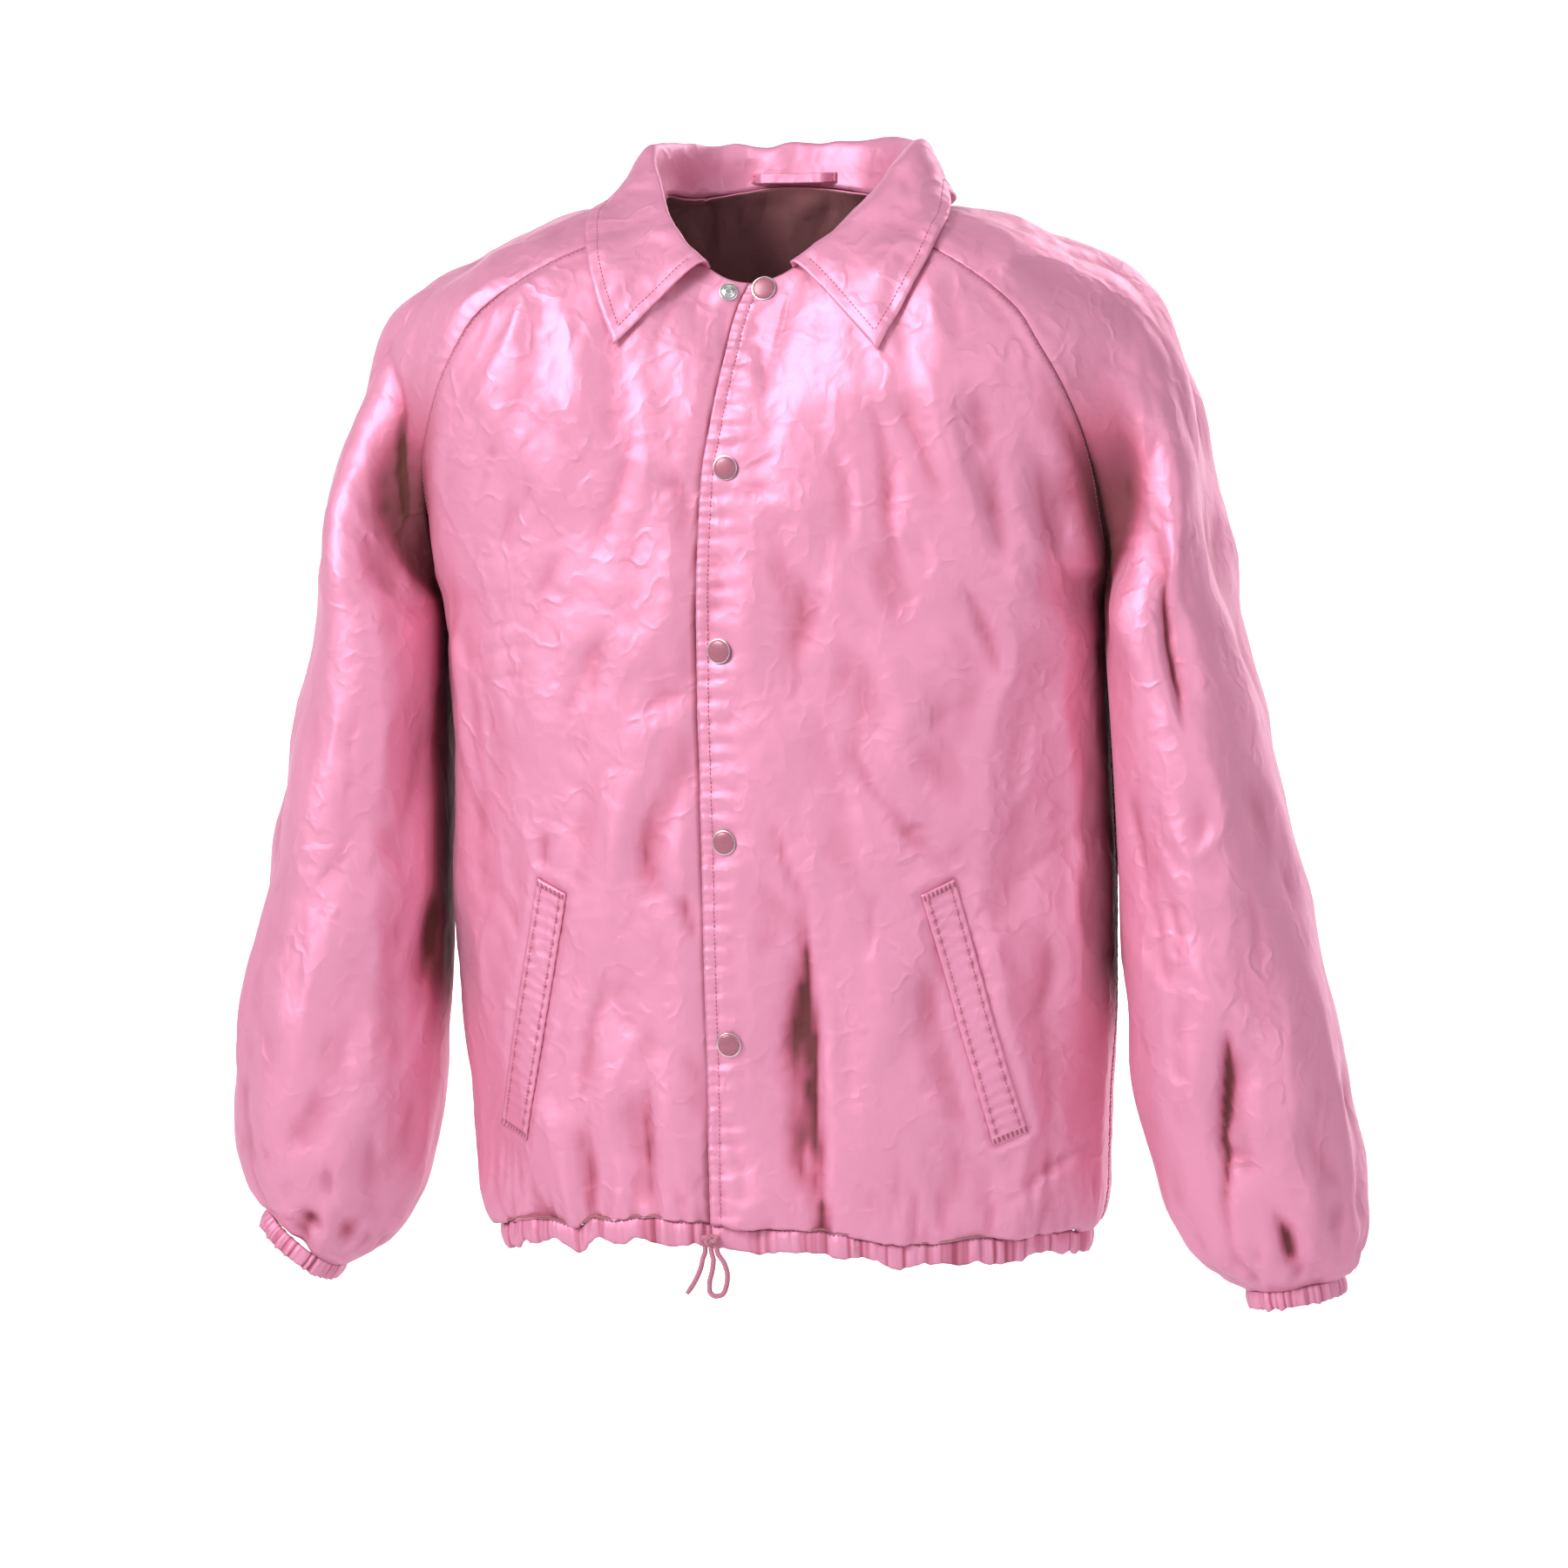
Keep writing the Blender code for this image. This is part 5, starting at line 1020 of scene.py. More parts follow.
def make_sleeve(side):
    """A sleeve: an open cap between the raglan seams, then closed rings down to the cuff."""
    level = level_rows(partial(sleeve, side), WRIST_LEVEL, SLEEVE_STEP, (0, 0.5, 1), (0.25, 0.5, 0.75))
    s, levels = np.meshgrid(np.linspace(0, 1, int(SLEEVE_COLUMNS / COARSE)), level)
    grid, normal = sleeve(side, levels, s), sleeve_normals(side, levels, s)
    across, down = length_across(grid), length_down(grid)
    away = np.minimum(across, across[:, -1:] - across)
    near = bell(grid[..., 2] - UNDERARM_Z, 50.0) * ease((away - 10.0) / 40.0)
    grid += near[..., None] * (smoothed(grid, 5 / COARSE) - grid)
    normal = unit(normal + near[..., None] * (smoothed(normal, 6 / COARSE) - normal))
    ones = np.full(level.shape, float(side))
    cap = level > 0
    for column, torso_normal in ((0, front_normals), (-1, back_normals)):
        other = torso_normal(np.maximum(level, 0.0), ones)
        both = np.where(cap[:, None], shared(normal[:, column], other), normal[:, column])
        distance = across if column == 0 else across[:, -1:] - across
        turned = blended_normals(normal, both, distance)
        normal = np.where(cap[:, None, None], turned, normal)
        normal[:, column] = both
    off_seam = np.where(levels > 0, ease(away / 14.0), 1.0)
    amount = bpy.context.scene.jacket_cloth
    height = amount.crumple * crumple(grid, lean=0.17 * side) * (0.25 + 0.75 * off_seam)
    height += amount.folds * creases(grid, normal, "s", off_seam)
    along = down[:, :1] + 0 * away
    in_cap = ease(levels / 0.03)
    height += in_cap * seam_relief(along, away)
    height -= (1 - in_cap) * 0.8 * bell(away, 2.4)
    to_cuff = down[-1:] - down
    fade = ease(1 - to_cuff / 85.0)
    height += amount.gathers * fade * (7.0 * facets(grid / (19, 19, 120) + 51, grid / 70, 0.8)
                                       + 2.2 * noise(grid / (11, 11, 80) + 53))
    height *= ease(to_cuff / 10.0) * 0.6 + 0.4
    height *= ease((down - 2.0) / 22.0) * 0.85 + 0.15
    facing_body = ease(np.minimum(s, 1 - s) / 0.2)
    under_arm = ease((0.06 - levels) / 0.08)
    height += under_arm * (np.minimum(height, 0.3 + 7.0 * facing_body) - height)
    name = "sleeve_left" if side > 0 else "sleeve_right"
    mask = np.where(levels > 0, ease(np.minimum(s, 1 - s) / 0.15), 1.0)
    deep = relief(name, -1, grid, mask)
    height += deep
    closed = (height[:, :1] + height[:, -1:]) / 2
    height = np.where(levels <= 0, height + (closed - height) * bell(away, 8.0), height)
    # Painted shade in folds and where the sleeve lies against the body
    painted_shade = hollows(height) + arm_gap(levels, 1.9 - away / 26.0)
    grid = grid + normal * height[..., None]
    underarm = int(cap.sum())
    top = slice(0, underarm)
    for column, inner_column in ((0, 1), (-1, -2)):
        grid[top, column] += part_at_seam(grid[top], normal[top], column, inner_column, SEAM_GAP)
    grid[underarm, 0, 0] += side * SEAM_GAP / 2
    return Sheet(grid, normal, underarm, painted_shade)


def collar_profile(side, station):
    """Points of the collar from the neck seam up the stand, over the roll and down to the leaf's edge."""
    seam = neckline(side, station)
    roll = read(ROLL[side], station)
    leaf = read(LEAF[side], station)
    out = unit((leaf - seam) * np.array([1, 1, 0]))
    lean = max(0.0, unit(roll - seam) @ out)
    seam = seam + np.array([0, 0, SEAT + COLLAR_CLOTH * lean])
    rise = roll - seam
    drop = leaf - roll
    radius = min(7.0, 0.45 * np.linalg.norm(rise))
    stand = bezier(seam, seam + 0.4 * rise, roll - radius * out, roll, np.linspace(0, 1, STAND_ROWS))
    fall = bezier(roll, roll + min(9.0, 0.3 * np.linalg.norm(drop)) * out, leaf - 0.4 * drop, leaf,
                  np.linspace(0, 1, FALL_ROWS))
    return np.vstack([stand, fall[1:]])


def sheet_normals(grid):
    """Normals of a grid of points, turned to the side of the rows' direction across the columns'."""
    return -unit(np.cross(np.gradient(grid, axis=0), np.gradient(grid, axis=1)))


def keep_off(grid, tree, rows, clear):
    """Lift the given rows of a grid along their normals until they clear the cloth beneath."""
    reach = 30.0
    normal = sheet_normals(grid)
    lift = np.zeros(grid.shape[:2])
    for r in rows:
        for c in range(grid.shape[1]):
            out = Vector(normal[r, c])
            _, _, _, distance = tree.ray_cast(Vector(grid[r, c]) + out * reach, -out, 2 * reach)
            if distance is not None and distance < reach + clear:
                lift[r, c] = reach + clear - distance
    for _ in range(2):
        wide = np.pad(lift, 1, mode="edge")
        spread = np.maximum.reduce([wide[1:-1, :-2], wide[1:-1, 2:], wide[:-2, 1:-1], wide[2:, 1:-1]])
        lift = np.maximum(lift, 0.6 * spread)
    return grid + normal * lift[..., None]


def make_collar():
    """Collar: one folded sheet, stand and leaf, round the neck from end to end."""
    stations = np.linspace(0, 5, int(COLLAR_COLUMNS / COARSE))
    right = [collar_profile(-1, k) for k in stations[::-1]]
    left = [collar_profile(1, k) for k in stations[1:]]
    grid = np.stack(right + left, axis=1)
    tree = tree_of("front_left_cloth", "front_right_cloth", "back_cloth", "sleeve_left_cloth",
                   "sleeve_right_cloth")
    for _ in range(3):
        grid = keep_off(grid, tree, range(STAND_ROWS + 1, grid.shape[0]), LEAF_CLEAR + COLLAR_CLOTH)
    normal = sheet_normals(grid)
    across, down = length_across(grid), length_down(grid)
    from_edge = down[-1:] - down
    from_end = np.minimum(across, across[:, -1:] - across)
    on_leaf = ease((np.arange(len(grid))[:, None] - STAND_ROWS) / 3.0)
    free = 0.25 + 0.75 * ease(from_end / 20.0) * ease(from_edge / 16.0)
    height = 1.3 * noise(grid / 38 + 61) + 3.6 * facets(grid / 44 + 62, grid / 80, 0.7)
    height -= 1.8 * facets(grid / 25 + 64, grid / 50, 0.5)
    height += 0.5 * facets(grid / 12 + 66, grid / 30, 0.4)
    height *= free
    # Painted shade in the collar's folds
    painted_shade = hollows(height)
    edge_puckers = puckers(across[-1:] + 0 * across, from_edge - 5.0, 9.5, 5.5, 6.1)
    end_puckers = puckers(from_edge, from_end - 5.0, 9.5, 5.5, 7.3)
    height += on_leaf * (0.35 * edge_puckers + 0.3 * end_puckers)
    height -= on_leaf * 0.45 * bell(np.minimum(from_edge, from_end) - 8.0, 1.3)
    back_wave = 3.2 * line_noise(across[STAND_ROWS:STAND_ROWS + 1] + 0 * across, 27.0, 8.8)
    at_roll = bell(np.arange(len(grid))[:, None] - STAND_ROWS, 6.0)
    grid = grid + normal * height[..., None]
    grid[..., 2] += back_wave * at_roll * ease((grid[..., 1] - 10.0) / 40.0)
    return Sheet(grid, sheet_normals(grid), painted_shade=painted_shade)


def hem_ring(count, edges):
    """Points and outward directions at an even spacing along the bottom edges of the panels."""
    dense = np.vstack([edges[0]] + [edge[1:] for edge in edges[1:]])
    travelled = lengths(dense)
    wanted = np.linspace(0, travelled[-1], count)
    ring = points_at(wanted, travelled, dense)
    tangent = np.gradient(ring, axis=0)
    out = np.stack([tangent[:, 1], -tangent[:, 0], np.zeros(count)], axis=1)
    kernel = np.ones(41) / 41
    padded = np.pad(out, ((20, 20), (0, 0)), mode="edge")
    out = unit(np.stack([np.convolve(padded[:, k], kernel, "valid") for k in range(3)], axis=1))
    return ring, out, wanted


def make_casing():
    """Hem casing, gathered by its cord, round the hem and open at the front."""
    left, rear, right = (SHEETS[k].grid for k in ("front_left", "back", "front_right"))
    count = int(CASING_COLUMNS / COARSE)
    ring, out, along = hem_ring(count, (left[-1], rear[-1, ::-1], right[-1, ::-1]))
    from_end = np.minimum(along, along[-1] - along)
    loose = ease((from_end - 14.0) / 30.0)
    bunch = np.abs(line_noise(along, 13.0, 9.1))
    fine = np.abs(line_noise(along, 6.0, 9.5))
    wave = 6.5 * np.minimum(bunch, 0.32) + 2.8 * np.minimum(fine, 0.3) - 2.4
    amount = bpy.context.scene.jacket_cloth.gathers
    rows = []
    for t in np.linspace(0, 1, CASING_ROWS):
        lean = -0.6 * (1 - t) - 1.4 * t
        bulge = 1.9 * math.sin(math.pi * t) ** 0.7
        drop = SEAT + (CASING_DEPTH - SEAT) * t
        shift = wave * loose * amount * (0.45 + 0.55 * math.sin(math.pi * t)) + lean + bulge
        sway = (3.8 * line_noise(along + 12 * t, 17.0, 9.7) + 1.6 * line_noise(along, 7.0, 9.8)) * loose * t
        rows.append(ring + out * shift[:, None] + points(0.0, 0.0, sway - drop))
    grid = np.stack(rows)
    # Painted shade in the hollows of the gathers
    painted_shade = np.broadcast_to(0.7 * loose * np.clip(-wave / 1.9, 0, 1) ** 1.5, grid.shape[:2])
    return Sheet(grid, np.broadcast_to(out, grid.shape).copy(), painted_shade=painted_shade)


def make_cuff(side):
    """Gathered cuff below the end of a sleeve."""
    count = int(CUFF_COLUMNS / COARSE)
    s = np.arange(count + 1) / count
    end = sleeve(side, np.full(count + 1, WRIST_LEVEL), s)
    centre = end[:-1].mean(axis=0)
    inner_x, inner_z, outer_x, outer_z = WRIST[side][-1][1:5]
    along_ring = unit(np.array([side * (outer_x - inner_x), 0, outer_z - inner_z]))
    axis = unit(np.cross(along_ring, (0, side, 0)))
    axis *= -np.sign(axis[2])
    out = unit(end - centre)
    angle = 2 * math.pi * s
    ring_noise = noise(np.stack([3.2 * np.cos(angle), 3.2 * np.sin(angle), 0 * s + side], axis=-1))
    folds = noise(np.stack([7.5 * np.cos(angle), 7.5 * np.sin(angle), 0 * s + side + 9], axis=-1))
    wave = 6.0 * np.minimum(np.abs(folds), 0.3) - 1.2 + 0.6 * np.sin(31 * angle + 4.0 * ring_noise)
    amount = bpy.context.scene.jacket_cloth.gathers
    rows = []
    for t in np.linspace(0, 1, CASING_ROWS):
        bulge = 1.1 * math.sin(math.pi * t)
        shift = amount * wave * (0.5 + 0.5 * t) - 0.4 + bulge
        sway = 1.6 * t * folds
        rows.append(end + axis * (SEAT + CUFF_DEPTH * t + sway[:, None]) + out * shift[:, None])
    grid = np.stack(rows)
    # Painted shade in the hollows of the gathers
    painted_shade = np.broadcast_to(0.7 * np.clip(-wave / 1.6, 0, 1), grid.shape[:2])
    return Sheet(grid, np.broadcast_to(out, grid.shape).copy(), 0, painted_shade)


def make_welt(side):
    """Slanted welt lying on a front over its pocket mouth."""
    rows, columns = int(WELT_ROWS / COARSE), WELT_COLUMNS
    corners = [np.array((side * (x + 5.0 + WELT_OUT[side]) - 5.0, z)) for x, z in WELT]
    tree = tree_of("front_left_cloth" if side > 0 else "front_right_cloth")
    grid, normal = np.zeros((rows, columns, 3)), np.zeros((rows, columns, 3))
    for r in range(rows):
        down = r / (rows - 1)
        inner = corners[0] * (1 - down) + corners[3] * down
        outer = corners[1] * (1 - down) + corners[2] * down
        for c in range(columns):
            x, z = inner + (outer - inner) * c / (columns - 1)
            spot, facing, _, _ = tree.ray_cast(Vector((x, RAY_START, z)), Vector((0, 1, 0)))
            grid[r, c], normal[r, c] = spot, facing
    for _ in range(2):
        wide = np.pad(grid, ((1, 1), (1, 1), (0, 0)), mode="reflect", reflect_type="odd")
        grid = (wide[1:-1, :-2] + wide[1:-1, 2:] + wide[:-2, 1:-1] + wide[2:, 1:-1]) / 4
    normal = unit(normal + normal.mean(axis=(0, 1)))
    across, down = length_across(grid), length_down(grid)
    edge = np.minimum(np.minimum(across, across[:, -1:] - across), np.minimum(down, down[-1:] - down))
    drawn = puckers(down, across - WELT_ROW, 8.0, 8.0, 12.1 + side)
    drawn += puckers(down, across - 19.5, 9.0, 8.0, 14.1)
    height = WELT_CLOTH + 0.5 - 0.5 * bell(edge, 1.2) - 0.35 * bell(edge - WELT_ROW, 1.1) + 0.6 * drawn
    # Painted shade along the row of stitches, where the puckers dip
    painted_shade = bell(edge - WELT_ROW, 1.6) * np.clip(0.28 - 0.5 * drawn, 0.0, 0.75)
    return Sheet(grid + normal * height[..., None], normal, painted_shade=painted_shade)


def make_loop():
    """Hanging loop across the inside of the back of the neck, standing off the collar's stand."""
    tree = tree_of("collar_cloth")
    rows = []
    for z in np.linspace(LOOP_TOP, LOOP_TOP - LOOP_HEIGHT, LOOP_ROWS):
        rows.append([])
        for x in LOOP_HALF * np.linspace(-1, 1, LOOP_COLUMNS):
            spot, _, _, _ = tree.ray_cast(Vector((x, 20, z)), Vector((0, 1, 0)))
            arch = float(ease(min(1.0, (1 - abs(x) / LOOP_HALF) * 3.2)))
            rows[-1].append((x, spot[1] - SEAT - LOOP_STAND_OFF * arch, z))
    grid = np.array(rows)
    slope = np.gradient(grid, axis=1)
    normal = unit(np.stack([slope[..., 1], -slope[..., 0], np.zeros(grid.shape[:2])], axis=-1))
    return Sheet(grid + normal * LOOP_CLOTH, normal)


def smooth_route(route, spacing):
    """Points at an even spacing along a smooth curve through a route."""
    route = np.array(route, float)
    steps = lengths(route)
    fine = read([(a, *p) for a, p in zip(steps, route)], np.linspace(0, steps[-1], 400)).T
    travelled = lengths(fine)
    return points_at(np.linspace(0, travelled[-1], max(4, int(travelled[-1] / spacing))), travelled, fine)


def stitches(name, lines, finish):
    """Rows of stitches along lines of points and normals, as one mesh of small rounded threads."""
    thread = bpy.context.scene.jacket_stitch
    pitch, length, radius = thread.pitch / MM, thread.length / MM, thread.radius / MM
    starts, ends, facing = [], [], []
    for spots, normal in lines:
        travelled = lengths(spots)
        count = max(1, int(travelled[-1] / pitch))
        middles = (np.arange(count) + 0.5) * travelled[-1] / count
        starts.append(points_at(middles - length / 2, travelled, spots))
        ends.append(points_at(middles + length / 2, travelled, spots))
        facing.append(points_at(middles, travelled, normal))
    starts, ends, facing = np.vstack(starts), np.vstack(ends), unit(np.vstack(facing))
    beside = unit(np.cross(unit(ends - starts), facing))
    lifted = facing * radius * 0.6
    verts = [starts - lifted * 0.5]
    for part in (0.22, 0.78):
        centre = starts + (ends - starts) * part + lifted
        for a, b in ((1, 0), (0, 1), (-1, 0), (0, -1)):
            verts.append(centre + beside * a * radius * 1.2 + facing * b * radius)
    verts.append(ends - lifted * 0.5)
    block = np.stack(verts, axis=1)
    faces = []
    for k in range(4):
        a, b = 1 + k, 1 + (k + 1) % 4
        faces += [(0, b, a), (a, b, b + 4), (a, b + 4, a + 4), (9, a + 4, b + 4)]
    every = (np.array(faces)[None] + 10 * np.arange(len(block))[:, None, None]).reshape(-1, 3)
    return add_mesh(name, block.reshape(-1, 3), every.tolist(), finish)


class Socket:
    """Output of a shader node, which takes part in sums, differences and products."""

    def __init__(self, finish, output):
        self.finish, self.output = finish, output

    def maths(self, operation, a, b=0.0):
        return self.finish.node("ShaderNodeMath", {"operation": operation}, {0: a, 1: b})

    def __add__(self, other):
        return self.maths("ADD", self, other)

    def __radd__(self, other):
        return self.maths("ADD", other, self)

    def __sub__(self, other):
        return self.maths("SUBTRACT", self, other)

    def __rsub__(self, other):
        return self.maths("SUBTRACT", other, self)

    def __mul__(self, other):
        return self.maths("MULTIPLY", self, other)

    def __rmul__(self, other):
        return self.maths("MULTIPLY", other, self)

    def __abs__(self):
        return self.maths("ABSOLUTE", self)


class Finish:
    """Material under construction, on a Principled shader."""

    def __init__(self, name, constants):
        self.material = bpy.data.materials.new(name)
        self.material.use_nodes = True
        self.tree = self.material.node_tree
        self.shader = self.tree.nodes["Principled BSDF"]
        for key, value in constants.items():
            self.shader.inputs[key].default_value = value
        place = self.tree.nodes.new("ShaderNodeTexCoord")
        self.place = Socket(self, place.outputs["Object"])

    def node(self, kind, settings, inputs, output=0):
        """Add a node: settings first, then values or links by input name or number. Returns one output."""
        made = self.tree.nodes.new(kind)
        for key, value in settings.items():
            setattr(made, key, value)
        for key, value in inputs.items():
            if isinstance(value, Socket):
                self.tree.links.new(value.output, made.inputs[key])
            else:
                made.inputs[key].default_value = value
        return Socket(self, made.outputs[output])

    def noise(self, scale, detail=2.0, stretch=(1.0, 1.0, 1.0)):
        """Noise over the object's own coordinates, from 0 to 1."""
        place = self.node("ShaderNodeMapping", {}, {"Vector": self.place, "Scale": stretch})
        return self.node("ShaderNodeTexNoise", {}, {"Vector": place, "Scale": scale, "Detail": detail})

    def mix(self, factor, a, b):
        """Colour between two others."""
        return self.node("ShaderNodeMix", {"data_type": "RGBA"}, {0: factor, 6: a, 7: b}, output=2)

    def crests(self, field, narrow):
        """Thin raised lines where a noise passes its middle."""
        above = 1 - narrow * abs(field - 0.5)
        return self.node("ShaderNodeMath", {"operation": "MAXIMUM"}, {0: above, 1: 0.0})

    def set(self, name, value):
        self.tree.links.new(value.output, self.shader.inputs[name])

    def bump(self, height, distance):
        normal = self.node("ShaderNodeBump", {}, {"Height": height, "Distance": distance, "Strength": 1.0})
        self.set("Normal", normal)


def colour(rgb, share=1.0):
    return (rgb[0] * share, rgb[1] * share, rgb[2] * share, 1.0)


def satin():
    """Satin-faced nylon: smooth and bright along the folds, with painted shade that darkens its colour in
    them, and with a weave and crinkles.
    """
    cloth = bpy.context.scene.jacket_cloth
    finish = Finish("satin_nylon_cloth", {"Metallic": 0.5, "Specular IOR Level": 0.15, "Sheen Weight": 0.05,
                                          "Sheen Roughness": 0.4, "Sheen Tint": (1.0, 0.8, 0.88, 1.0)})
    fold = finish.node("ShaderNodeAttribute", {"attribute_name": "fold"}, {}, output=2)
    patch = finish.noise(9.0, 3.0)
    face = finish.mix(patch, colour(cloth.colour, 0.95), colour(cloth.colour, 1.04))
    # Painted shade: toward the fold colour in folds and toward a dark brown in the deepest ones, by the
    # 'fold' attribute
    shaded = finish.mix(fold * 1.5, face, colour(cloth.shade))
    finish.set("Base Color", finish.mix((fold - 0.6) * 2.2, shaded, colour(cloth.depth)))
    grain = finish.noise(1400.0, 1.0, (1.0, 1.0, 0.35))
    finish.set("Roughness", cloth.roughness + 0.05 * (patch - 0.5) + 0.06 * (grain - 0.5) + 0.25 * fold)
    weave = finish.node("ShaderNodeTexWave", {"bands_direction": "Z"},
                        {"Vector": finish.place, "Scale": 520.0, "Distortion": 1.2, "Detail": 1.0})
    worn = finish.noise(24.0, 2.0)
    lines = finish.crests(finish.noise(15.0, 2.0, (1.0, 1.0, 0.55)), 16.0) * (worn - 0.25)
    lines += finish.crests(finish.noise(32.0, 2.0), 13.0) * (0.75 - worn)
    soft = abs(finish.noise(60.0, 2.0) - 0.5)
    finish.bump(1.5 * lines + 0.5 * soft + 0.03 * weave + 0.04 * grain, 0.0009)
    return finish.material


def wrong_side():
    """The inside of the cloth: dull, with the weave showing, in its own duller colour darkened further as
    painted shade for the inside, where little light falls in.
    """
    cloth = bpy.context.scene.jacket_cloth
    finish = Finish("satin_nylon_wrong_side", {"Roughness": 0.75})
    patch = finish.noise(14.0, 3.0)
    finish.set("Base Color", finish.mix(patch, colour(cloth.inside, 0.85), colour(cloth.inside, 1.1)))
    finish.bump(finish.noise(900.0, 1.0, (1.0, 1.0, 0.4)), 0.0002)
    return finish.material


def thread():
    cloth = bpy.context.scene.jacket_cloth
    finish = Finish("sewing_thread", {"Roughness": 0.5, "Sheen Weight": 0.3})
    twist = finish.noise(2600.0, 1.0)
    finish.set("Base Color", finish.mix(twist, colour(cloth.shade, 0.7), colour(cloth.shade, 1.1)))
    finish.bump(twist, 0.0002)
    return finish.material


def knitted():
    """Round knitted cord: fine slanted ribs, dull."""
    cord = bpy.context.scene.jacket_cord
    finish = Finish("knitted_cord_look", {"Roughness": 0.78, "Sheen Weight": 0.4, "Sheen Roughness": 0.5})
    rib = finish.node("ShaderNodeTexWave", {"bands_direction": "DIAGONAL"},
                      {"Vector": finish.place, "Scale": 230.0, "Distortion": 2.0, "Detail": 2.0})
    fuzz = finish.noise(1800.0, 2.0)
    shade = rib * 0.7 + fuzz * 0.3
    finish.set("Base Color", finish.mix(shade, colour(cord.colour, 0.62), colour(cord.colour, 1.12)))
    finish.bump(shade, 0.0006)
    return finish.material


def enamel():
    snap = bpy.context.scene.jacket_snap
    finish = Finish("snap_enamel_look", {"Metallic": 0.2, "Coat Weight": 0.35, "Coat Roughness": 0.2})
    mottle = finish.noise(420.0, 3.0)
    finish.set("Base Color", finish.mix(mottle, colour(snap.enamel, 0.88), colour(snap.enamel, 1.1)))
    finish.set("Roughness", 0.34 + 0.12 * mottle)
    finish.bump(mottle, 0.00006)
    return finish.material


def steel():
    snap = bpy.context.scene.jacket_snap
    finish = Finish("snap_steel_look", {"Metallic": 1.0})
    brushed = finish.noise(900.0, 2.0, (1.0, 1.0, 3.0))
    finish.set("Base Color", finish.mix(brushed, colour(snap.steel, 0.9), colour(snap.steel, 1.0)))
    finish.set("Roughness", 0.18 + 0.16 * brushed)
    finish.bump(brushed, 0.00003)
    return finish.material


def paper():
    """Matt paper of the floor and backdrop."""
    stage = bpy.context.scene.jacket_stage
    return Finish("paper", {"Base Color": colour(stage.paper), "Roughness": 0.9}).material


FINISHES = {}


def finish_of(make):
    """The material that a function makes, made once, when the first piece asks for it."""
    if make not in FINISHES:
        FINISHES[make] = make()
    return FINISHES[make]


def cloth_area(sheet):
    """Area of a sheet in square metres."""
    a = np.diff(sheet.grid[:-1], axis=1)
    b = np.diff(sheet.grid[:, :-1], axis=0)
    return float(np.linalg.norm(np.cross(a, b), axis=-1).sum()) * MM * MM


def cloth_piece(name, sheet, flat, held, thickness=None):
    """Add one piece of cloth, which stands for the CAD node of the same name, and keep its cut by name.

    Without a thickness it is one layer of the shell, whose inside shows the wrong side of the cloth.
    """
    inside = satin if thickness else wrong_side
    thickness = thickness or bpy.context.scene.jacket_cloth.thickness / MM
    body = shell(name + "_cloth", sheet, thickness, finish_of(satin), finish_of(inside))
    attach(body, "root")
    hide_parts(name)
    SHEETS[name] = sheet
    CUTS[name] = (flat, held)


def pick(bodies):
    """Select these pieces alone, with the first one active."""
    bpy.ops.object.select_all(action="DESELECT")
    for body in bodies:
        body.select_set(True)
    bpy.context.view_layer.objects.active = bodies[0]


def select_top(body):
    """Select the highest face of a piece, in edit mode."""
    bpy.ops.object.mode_set(mode="EDIT")
    bpy.ops.mesh.select_mode(type="FACE")
    bpy.ops.mesh.select_all(action="DESELECT")
    bpy.ops.object.mode_set(mode="OBJECT")
    top = max(body.data.polygons, key=lambda face: face.center.z + 0.001 * face.area)
    top.select = True
    bpy.ops.object.mode_set(mode="EDIT")


def lathe(radius, base, steps, finish, start=1.0):
    """Round piece: a cylinder whose top is drawn up or in again and again.

    Steps are a share of the radius and a rise in mm, and start is the cylinder's own share.
    """
    bpy.ops.object.select_all(action="DESELECT")
    bpy.ops.mesh.primitive_cylinder_add(vertices=40, radius=radius * start * MM, depth=base * MM,
                                        location=(0, 0, base / 2 * MM))
    body = bpy.context.active_object
    bpy.ops.object.transform_apply(location=True, rotation=False, scale=False)
    select_top(body)
    now = start
    for wide, rise in steps:
        bpy.ops.mesh.extrude_region_move(TRANSFORM_OT_translate={"value": (0, 0, rise * MM)})
        bpy.ops.transform.resize(value=(wide / now, wide / now, 1.0), center_override=(0.0, 0.0, 0.0))
        now = wide
    bpy.ops.object.mode_set(mode="OBJECT")
    body.data.materials.append(finish)
    return body


def seat(name, parts, node, cloth_name):
    """Join round parts and seat them on the cloth where their CAD node stands, square to the cloth."""
    low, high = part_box(node)
    middle_x, middle_z = (low[0] + high[0]) / 2 / MM, (low[2] + high[2]) / 2 / MM
    tree = tree_of(cloth_name)
    spots, facing = [], []
    for dx, dz in ((0, 0), (7, 0), (-7, 0), (0, 7), (0, -7), (5, 5), (-5, 5), (5, -5), (-5, -5)):
        spot, turn, _, _ = tree.ray_cast(Vector((middle_x + dx, RAY_START, middle_z + dz)), Vector((0, 1, 0)))
        if spot is not None:
            spots.append(np.array(spot))
            facing.append(np.array(turn))
    axis = unit(np.mean(facing, axis=0))
    rise = max(float((spot - spots[0]) @ axis) for spot in spots)
    centre = spots[0] + axis * (rise + SNAP_LIFT)
    pick(parts)
    if len(parts) > 1:
        bpy.ops.object.join()
    body = parts[0]
    body.name = body.data.name = name
    turn = Vector((0, 0, 1)).rotation_difference(Vector(axis)).to_matrix().to_4x4()
    body.data.transform(Matrix.Translation(Vector(centre * MM)) @ turn)
    body.data.update()
    bpy.ops.object.shade_smooth_by_angle(angle=math.radians(35))
    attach(body, "root")
    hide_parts(node)


